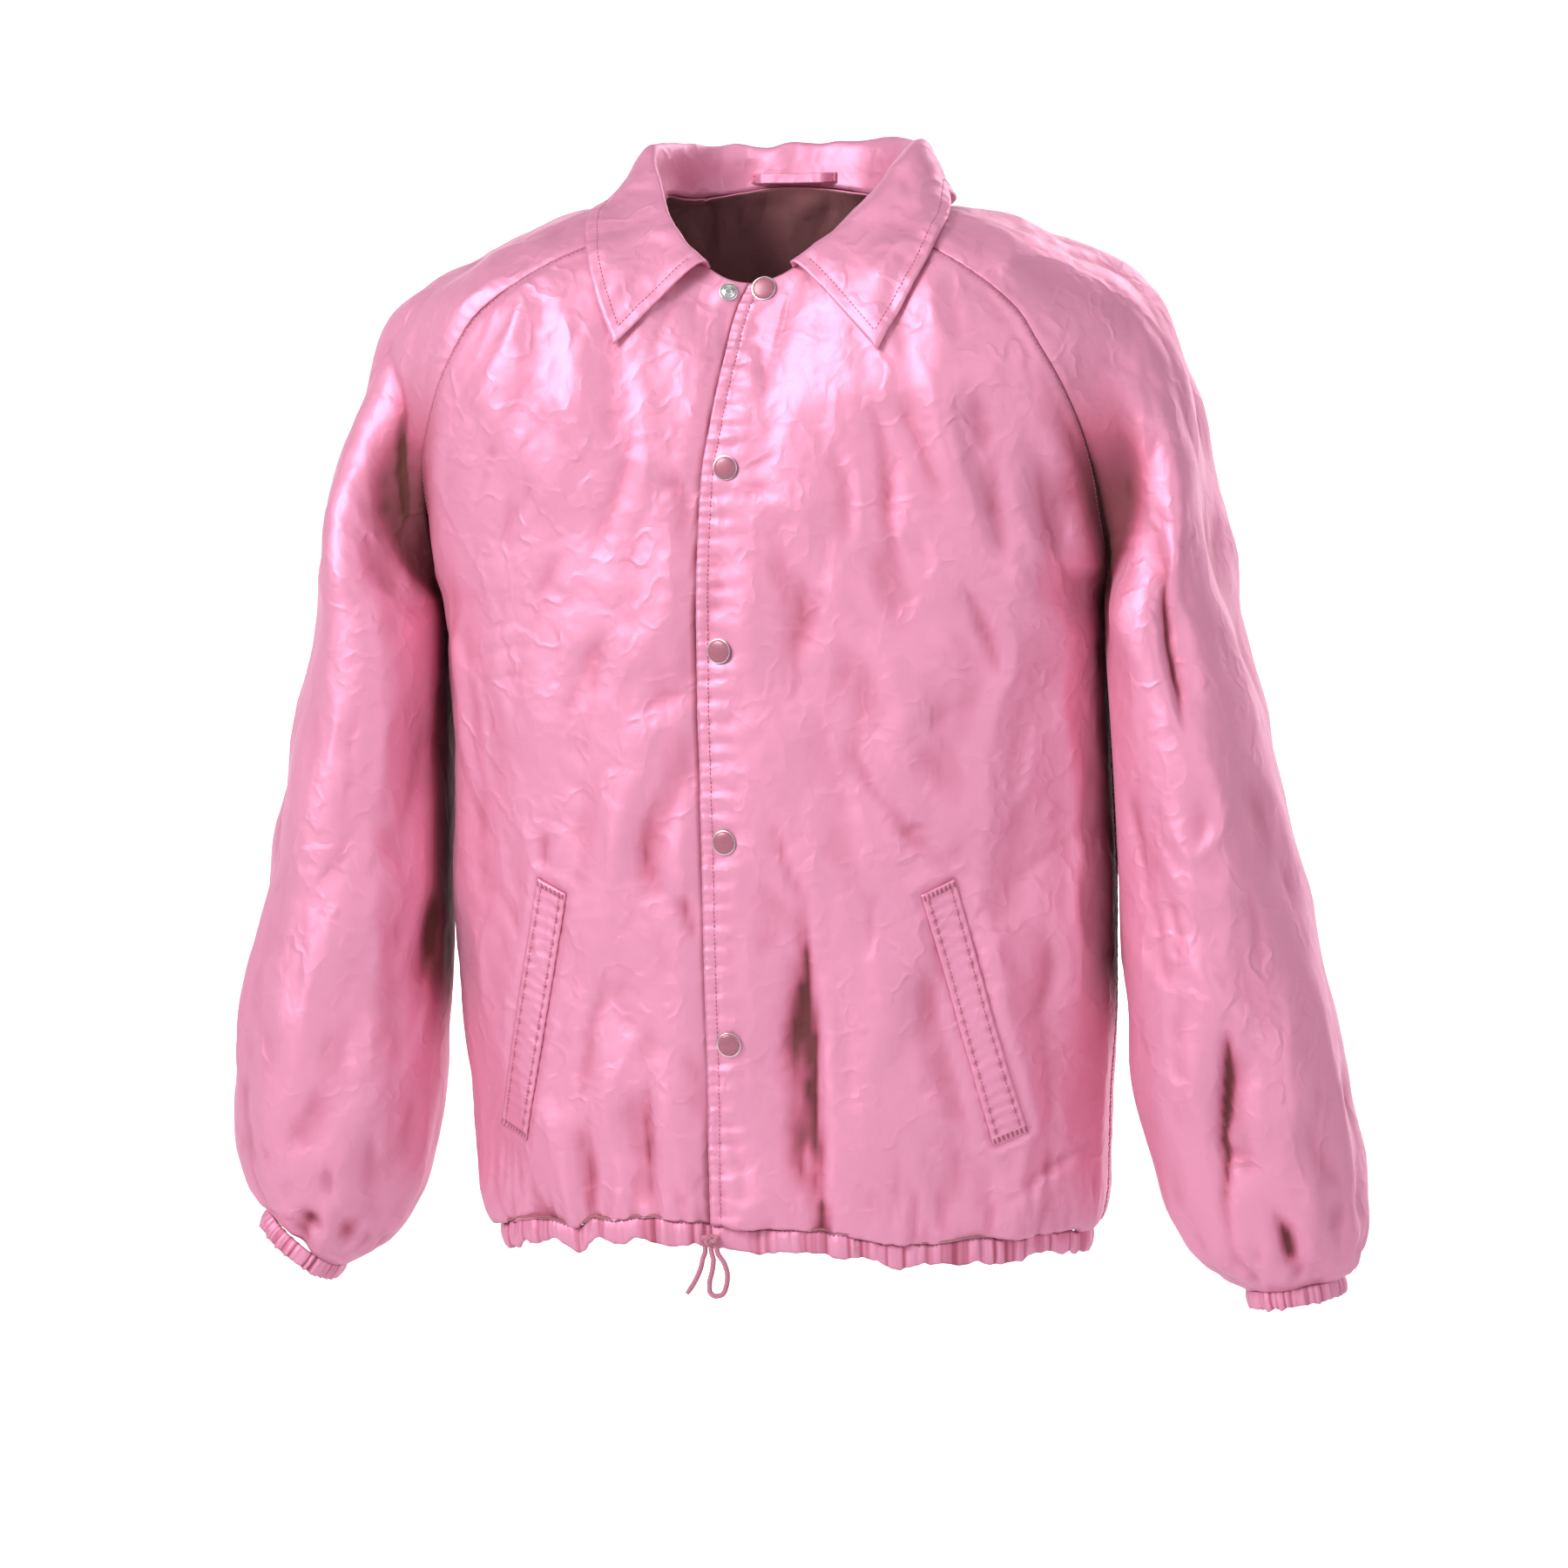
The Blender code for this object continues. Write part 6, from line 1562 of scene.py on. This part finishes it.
def cord_piece(name, line, radii, cyclic=False):
    """Round cord along a line of points, as thick at each as its share of the whole."""
    curve = bpy.data.curves.new(name, "CURVE")
    curve.dimensions = "3D"
    curve.bevel_depth = bpy.context.scene.jacket_cord.diameter / 2
    curve.bevel_resolution = 5
    curve.use_fill_caps = not cyclic
    spline = curve.splines.new("POLY")
    spline.points.add(len(line) - 1)
    for point, place, share in zip(spline.points, line, radii):
        point.co = (*(place * MM), 1.0)
        point.radius = share
    spline.use_cyclic_u = cyclic
    curve.materials.append(finish_of(knitted))
    body = bpy.data.objects.new(name, curve)
    bpy.context.scene.collection.objects.link(body)
    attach(body, "root")
    return body


def length_of(name, description, default, low, high):
    return FloatProperty(name=name, description=description, default=default, min=low, max=high,
                         unit="LENGTH", subtype="DISTANCE")


def share_of(name, description, default, high):
    return FloatProperty(name=name, description=description, default=default, min=0, max=high)


def power_of(name, description, default):
    return FloatProperty(name=name, description=description, default=default, min=0, max=500, unit="POWER")


def tint_of(name, description, default):
    return FloatVectorProperty(name=name, description=description, default=default, size=3, min=0, max=1,
                               subtype="COLOR")


class ClothSettings(bpy.types.PropertyGroup):
    thickness: length_of("Thickness", "Thickness of the shell with its allowances", 0.001, 0.0004, 0.003)
    folds: share_of("Folds", "How deep the placed creases are", 1.15, 2)
    crumple: share_of("Crumple", "How uneven the worn cloth is", 1.9, 3)
    gathers: share_of("Gathers", "How deep the gathers at hem and cuffs are", 1.0, 2)
    colour: tint_of("Colour", "Colour of the satin face", (0.80, 0.32, 0.47))
    # Painted shade: the colour mixed into the satin in its folds; the thread takes its own colour from it
    shade: tint_of("Fold colour", "Colour of the cloth in its folds", (0.52, 0.13, 0.21))
    # Painted shade at the bottom of the deepest folds
    depth: tint_of("Deep fold colour", "Colour at the bottom of the deepest folds", (0.14, 0.045, 0.04))
    # Partly the wrong side's own duller colour, partly painted shade for the dim inside of the jacket
    inside: tint_of("Wrong side", "Colour of the inside of the cloth", (0.38, 0.15, 0.16))
    roughness: share_of("Roughness", "Roughness of the satin face", 0.5, 0.9)


class StitchSettings(bpy.types.PropertyGroup):
    pitch: length_of("Pitch", "From one stitch to the next", 0.0032, 0.0015, 0.008)
    length: length_of("Length", "Length of thread that shows in a stitch", 0.0025, 0.001, 0.006)
    radius: length_of("Thread radius", "Half the thickness of the thread", 0.0003, 0.0001, 0.001)
    inset: length_of("Inset", "From an edge to its row of stitches", 0.008, 0.002, 0.02)


class SnapSettings(bpy.types.PropertyGroup):
    radius: length_of("Cap radius", "Half the width of a snap's cap", 0.0084, 0.004, 0.012)
    enamel: tint_of("Enamel", "Colour of the caps", (0.38, 0.12, 0.17))
    steel: tint_of("Steel", "Colour of rims and studs", (0.80, 0.78, 0.77))


class CordSettings(bpy.types.PropertyGroup):
    diameter: length_of("Diameter", "Thickness of the drawcord", 0.0036, 0.002, 0.008)
    colour: tint_of("Colour", "Colour of the drawcord", (0.62, 0.20, 0.29))


class StageSettings(bpy.types.PropertyGroup):
    floor: length_of("Floor height", "Height of the floor below the neck", -1.5, -3, -0.8)
    key: power_of("Key light", "Power of the main light", 110.0)
    fill: power_of("Fill light", "Power of the light from the other side", 20.0)
    top: power_of("Top light", "Power of the light above", 7.0)
    rear: power_of("Rear light", "Power of the light behind the jacket", 30.0)
    back: power_of("Paper lights", "Power of each light on the backdrop", 160.0)
    paper: tint_of("Paper", "Colour of the floor and backdrop", (0.86, 0.86, 0.87))


# Floor and backdrop: radius and height above the floor, in metres
BOWL = ((0.5, 0.0), (6.0, 0.0), (6.6, 0.1), (7.0, 0.35), (7.3, 0.8), (7.4, 1.4), (7.4, 7.0))
BOWL_SIDES = 64


class JACKET_OT_stage(bpy.types.Operator):
    """Make the pale floor with its backdrop, the soft lights and the camera"""
    bl_idname = "jacket.stage"
    bl_label = "Stage"

    def execute(self, context):
        stage = context.scene.jacket_stage
        verts = [(r * math.cos(a), r * math.sin(a), stage.floor + z) for r, z in BOWL
                 for a in np.linspace(0, 2 * math.pi, BOWL_SIDES, endpoint=False)]
        faces = [tuple(range(BOWL_SIDES))]
        for ring in range(0, len(verts) - BOWL_SIDES, BOWL_SIDES):
            for a in range(BOWL_SIDES):
                b = (a + 1) % BOWL_SIDES
                faces.append((ring + BOWL_SIDES + a, ring + BOWL_SIDES + b, ring + b, ring + a))
        add_mesh("backdrop", np.array(verts) / MM, faces, finish_of(paper))
        world = bpy.data.worlds.new("studio")
        world.use_nodes = True
        world.node_tree.nodes["Background"].inputs["Color"].default_value = (0.95, 0.96, 1.0, 1.0)
        world.node_tree.nodes["Background"].inputs["Strength"].default_value = 0.3
        context.scene.world = world
        context.scene.view_settings.view_transform = "Standard"
        for name, place, aim, power, size in (
                ("key", (-1.9, -2.5, 1.5), (0.0, 0.0, -0.35), stage.key, 1.6),
                ("fill", (2.2, -2.6, 0.3), (0.0, 0.0, -0.4), stage.fill, 1.5),
                ("top", (0.3, -0.5, 2.3), (0.0, 0.0, -0.2), stage.top, 1.2),
                ("rear", (1.2, 3.0, 1.6), (0.0, 0.0, -0.3), stage.rear, 1.3),
                ("paper left", (-2.4, 4.4, 1.6), (-1.0, 7.0, -1.0), stage.back, 2.0),
                ("paper right", (2.4, 4.4, 1.6), (1.0, 7.0, -1.0), stage.back, 2.0)):
            light = bpy.data.lights.new(name, "AREA")
            light.energy, light.size = power, size
            lamp = bpy.data.objects.new(name, light)
            context.scene.collection.objects.link(lamp)
            lamp.location = place
            lamp.rotation_euler = (Vector(aim) - Vector(place)).to_track_quat("-Z", "Y").to_euler()
        lens = bpy.data.cameras.new("camera")
        lens.sensor_width = 36.0
        lens.lens = DISTANCE / PIXEL / (2 * FRAME_MIDDLE) * lens.sensor_width
        lens.clip_end = 50.0
        camera = bpy.data.objects.new("camera", lens)
        context.scene.collection.objects.link(camera)
        turn = Matrix((RIGHT, UP, TOWARD)).transposed().to_4x4()
        camera.matrix_world = Matrix.Translation(Vector(EYE * MM)) @ turn
        context.scene.camera = camera
        return {"FINISHED"}


class JACKET_OT_fronts(bpy.types.Operator):
    """Make the two fronts with their folds, puckers and creases"""
    bl_idname = "jacket.fronts"
    bl_label = "Fronts"

    def execute(self, context):
        for (side, word), wide in zip(SIDES, (0.32, 0.34)):
            cloth_piece("front_" + word, make_front(side), (wide, 0.70), "hung")
        return {"FINISHED"}


class JACKET_OT_back(bpy.types.Operator):
    """Make the back with folds like those of the fronts"""
    bl_idname = "jacket.back"
    bl_label = "Back"

    def execute(self, context):
        cloth_piece("back", make_back(), (0.60, 0.73), "hung")
        return {"FINISHED"}


class JACKET_OT_sleeves(bpy.types.Operator):
    """Make the raglan sleeves, gathered toward the cuffs"""
    bl_idname = "jacket.sleeves"
    bl_label = "Sleeves"

    def execute(self, context):
        for side, word in SIDES:
            cloth_piece("sleeve_" + word, make_sleeve(side), (0.50, 0.80), "hung")
        return {"FINISHED"}


class JACKET_OT_collar(bpy.types.Operator):
    """Make the pointed collar, folded over at its roll line"""
    bl_idname = "jacket.collar"
    bl_label = "Collar"

    def execute(self, context):
        cloth_piece("collar", make_collar(), (0.50, 0.13), "folded", COLLAR_CLOTH)
        return {"FINISHED"}


class JACKET_OT_bands(bpy.types.Operator):
    """Make the hem casing and the two cuffs, with their gathers"""
    bl_idname = "jacket.bands"
    bl_label = "Hem casing and cuffs"

    def execute(self, context):
        cloth_piece("hem_casing", make_casing(), (1.2, 0.022), "gathered", CASING_CLOTH)
        for side, word in SIDES:
            cloth_piece("cuff_" + word, make_cuff(side), (0.30, 0.016), "gathered", CUFF_CLOTH)
        return {"FINISHED"}


class JACKET_OT_welts(bpy.types.Operator):
    """Make the slanted pocket welts"""
    bl_idname = "jacket.welts"
    bl_label = "Pocket welts"

    def execute(self, context):
        for side, word in SIDES:
            cloth_piece("pocket_welt_" + word, make_welt(side), (0.024, 0.185), "stretched", WELT_CLOTH)
        return {"FINISHED"}


class JACKET_OT_loop(bpy.types.Operator):
    """Make the hanging loop inside the back of the neck"""
    bl_idname = "jacket.hang_loop"
    bl_label = "Hanging loop"

    def execute(self, context):
        cloth_piece("hang_loop", make_loop(), (0.078, 0.010), "hung", LOOP_CLOTH)
        return {"FINISHED"}


class JACKET_OT_snaps(bpy.types.Operator):
    """Make the snaps: enamelled caps on the left front and steel studs on the right front"""
    bl_idname = "jacket.snaps"
    bl_label = "Snaps"

    def execute(self, context):
        wide = context.scene.jacket_snap.radius / MM
        for k in range(len(SNAP_Z)):
            rim = lathe(wide, 0.45, ((1.0, 0.25), (0.97, 0.12), (0.9, 0.0)), finish_of(steel))
            dome = lathe(wide, 0.9, DOME, finish_of(enamel), 0.92)
            seat(f"snap_cap_{k}_look", [rim, dome], f"snap_cap_{k}", "front_left_cloth")
            stud = lathe(OPEN_STUD_RADIUS if k == 0 else STUD_RADIUS, 0.5, STUD, finish_of(steel))
            seat(f"snap_stud_{k}_look", [stud], f"snap_stud_{k}", "front_right_cloth")
        return {"FINISHED"}


class JACKET_OT_drawcord(bpy.types.Operator):
    """Make the drawcord's knot, its loop and its loose end"""
    bl_idname = "jacket.drawcord"
    bl_label = "Drawcord"

    def execute(self, context):
        centre = np.mean(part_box("drawcord_knot"), axis=0) / MM
        turn = np.linspace(0, 2 * math.pi, KNOT_POINTS, endpoint=False)
        wound = np.stack([(np.sin(turn) + 2 * np.sin(2 * turn)) * 1.75, -np.sin(3 * turn) * 1.7,
                          (np.cos(turn) - 2 * np.cos(2 * turn)) * 0.95], axis=1)
        knot = cord_piece("drawcord_knot_look", centre + wound, np.full(KNOT_POINTS, 0.95), cyclic=True)
        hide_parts("drawcord_knot")
        for name, route, far_end in (("drawcord_tail", CORD_TAIL, "bare"),
                                     ("drawcord_loop", CORD_LOOP, "object")):
            line = centre + smooth_route(route, CORD_STEP)
            radii = np.ones(len(line))
            if far_end == "bare":
                radii[-4:] = (0.97, 0.93, 0.86, 0.76)
            body = cord_piece(name + "_look", line, radii)
            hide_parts(name)
        return {"FINISHED"}


class JACKET_OT_stitching(bpy.types.Operator):
    """Sew the rows of stitches that show"""
    bl_idname = "jacket.stitching"
    bl_label = "Stitching"

    def execute(self, context):
        inset = context.scene.jacket_stitch.inset / MM
        left, right, rear, casing, loop, collar = (SHEETS[k] for k in (
            "front_left", "front_right", "back", "hem_casing", "hang_loop", "collar"))
        leaf = Sheet(collar.grid[STAND_ROWS + 3:], collar.normal[STAND_ROWS + 3:])
        across, down = length_across(collar.grid)[-1], length_down(leaf.grid)[:, 0]
        between = (across > inset) & (across < across[-1] - inset)
        above = down < down[-1] - inset
        rows = [(row[keep], facing[keep]) for (row, facing), keep in (
            (leaf.row_line(inset, True), between),
            (leaf.line(inset), above),
            (leaf.line(inset, True), above))]
        sewn = {
            "front_left": [left.line(inset), left.line(SEAM_ROW, True)],
            "front_right": [right.line(SEAM_ROW, True)],
            "back": [rear.line(SEAM_ROW), rear.line(SEAM_ROW, True)],
            "hem_casing": [casing.row_line(2.0)],
            "hang_loop": [loop.line(2.5), loop.line(2.5, True)],
            "collar": rows,
        }
        for word in ("left", "right"):
            welt = SHEETS["pocket_welt_" + word]
            tacks = [welt.row_line(1.6 + 0.8 * k, from_end) for from_end in (False, True) for k in range(5)]
            sewn["pocket_welt_" + word] = [welt.line(WELT_ROW), welt.line(WELT_ROW, True)] + tacks
        for name, lines in sewn.items():
            body = stitches(name + "_stitches", lines, finish_of(thread))
            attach(body, "root")
        for name, (flat, held) in CUTS.items():
            whole = flat[0] * flat[1]
            area = min(whole, cloth_area(SHEETS[name]))
            sewn_on = [MADE[name + "_stitches"]] if name in sewn else []
            MADE[name + "_cloth"]
            max(0.3 * whole, area)
        return {"FINISHED"}


class JACKET_PT_panel(bpy.types.Panel):
    """Lists the pieces of the jacket"""
    bl_idname = "JACKET_PT_panel"
    bl_label = "Coach jacket"
    bl_space_type = "VIEW_3D"
    bl_region_type = "UI"
    bl_category = "Jacket"

    def draw(self, context):
        for operator in OPERATORS:
            self.layout.operator(operator.bl_idname)
        for group in ("jacket_cloth", "jacket_stitch", "jacket_snap", "jacket_cord", "jacket_stage"):
            box = self.layout.box()
            settings = getattr(context.scene, group)
            for key in settings.__annotations__:
                box.prop(settings, key)


OPERATORS = (JACKET_OT_stage, JACKET_OT_fronts, JACKET_OT_back, JACKET_OT_sleeves, JACKET_OT_collar,
             JACKET_OT_bands, JACKET_OT_welts, JACKET_OT_loop, JACKET_OT_snaps, JACKET_OT_drawcord,
             JACKET_OT_stitching)
GROUPS = {"jacket_cloth": ClothSettings, "jacket_stitch": StitchSettings, "jacket_snap": SnapSettings,
          "jacket_cord": CordSettings, "jacket_stage": StageSettings}


def register():
    for group in GROUPS.values():
        bpy.utils.register_class(group)
    for name, group in GROUPS.items():
        setattr(bpy.types.Scene, name, PointerProperty(type=group))
    for operator in OPERATORS:
        bpy.utils.register_class(operator)
    bpy.utils.register_class(JACKET_PT_panel)


def unregister():
    bpy.utils.unregister_class(JACKET_PT_panel)
    for operator in OPERATORS:
        bpy.utils.unregister_class(operator)
    for name in GROUPS:
        delattr(bpy.types.Scene, name)
    for group in GROUPS.values():
        bpy.utils.unregister_class(group)


def main():
    register()
    bpy.ops.jacket.stage()
    bpy.ops.jacket.fronts()
    bpy.ops.jacket.back()
    bpy.ops.jacket.sleeves()
    bpy.ops.jacket.collar()
    bpy.ops.jacket.bands()
    bpy.ops.jacket.welts()
    bpy.ops.jacket.hang_loop()
    bpy.ops.jacket.snaps()
    bpy.ops.jacket.drawcord()
    bpy.ops.jacket.stitching()


if __name__ == "__main__":
    main()
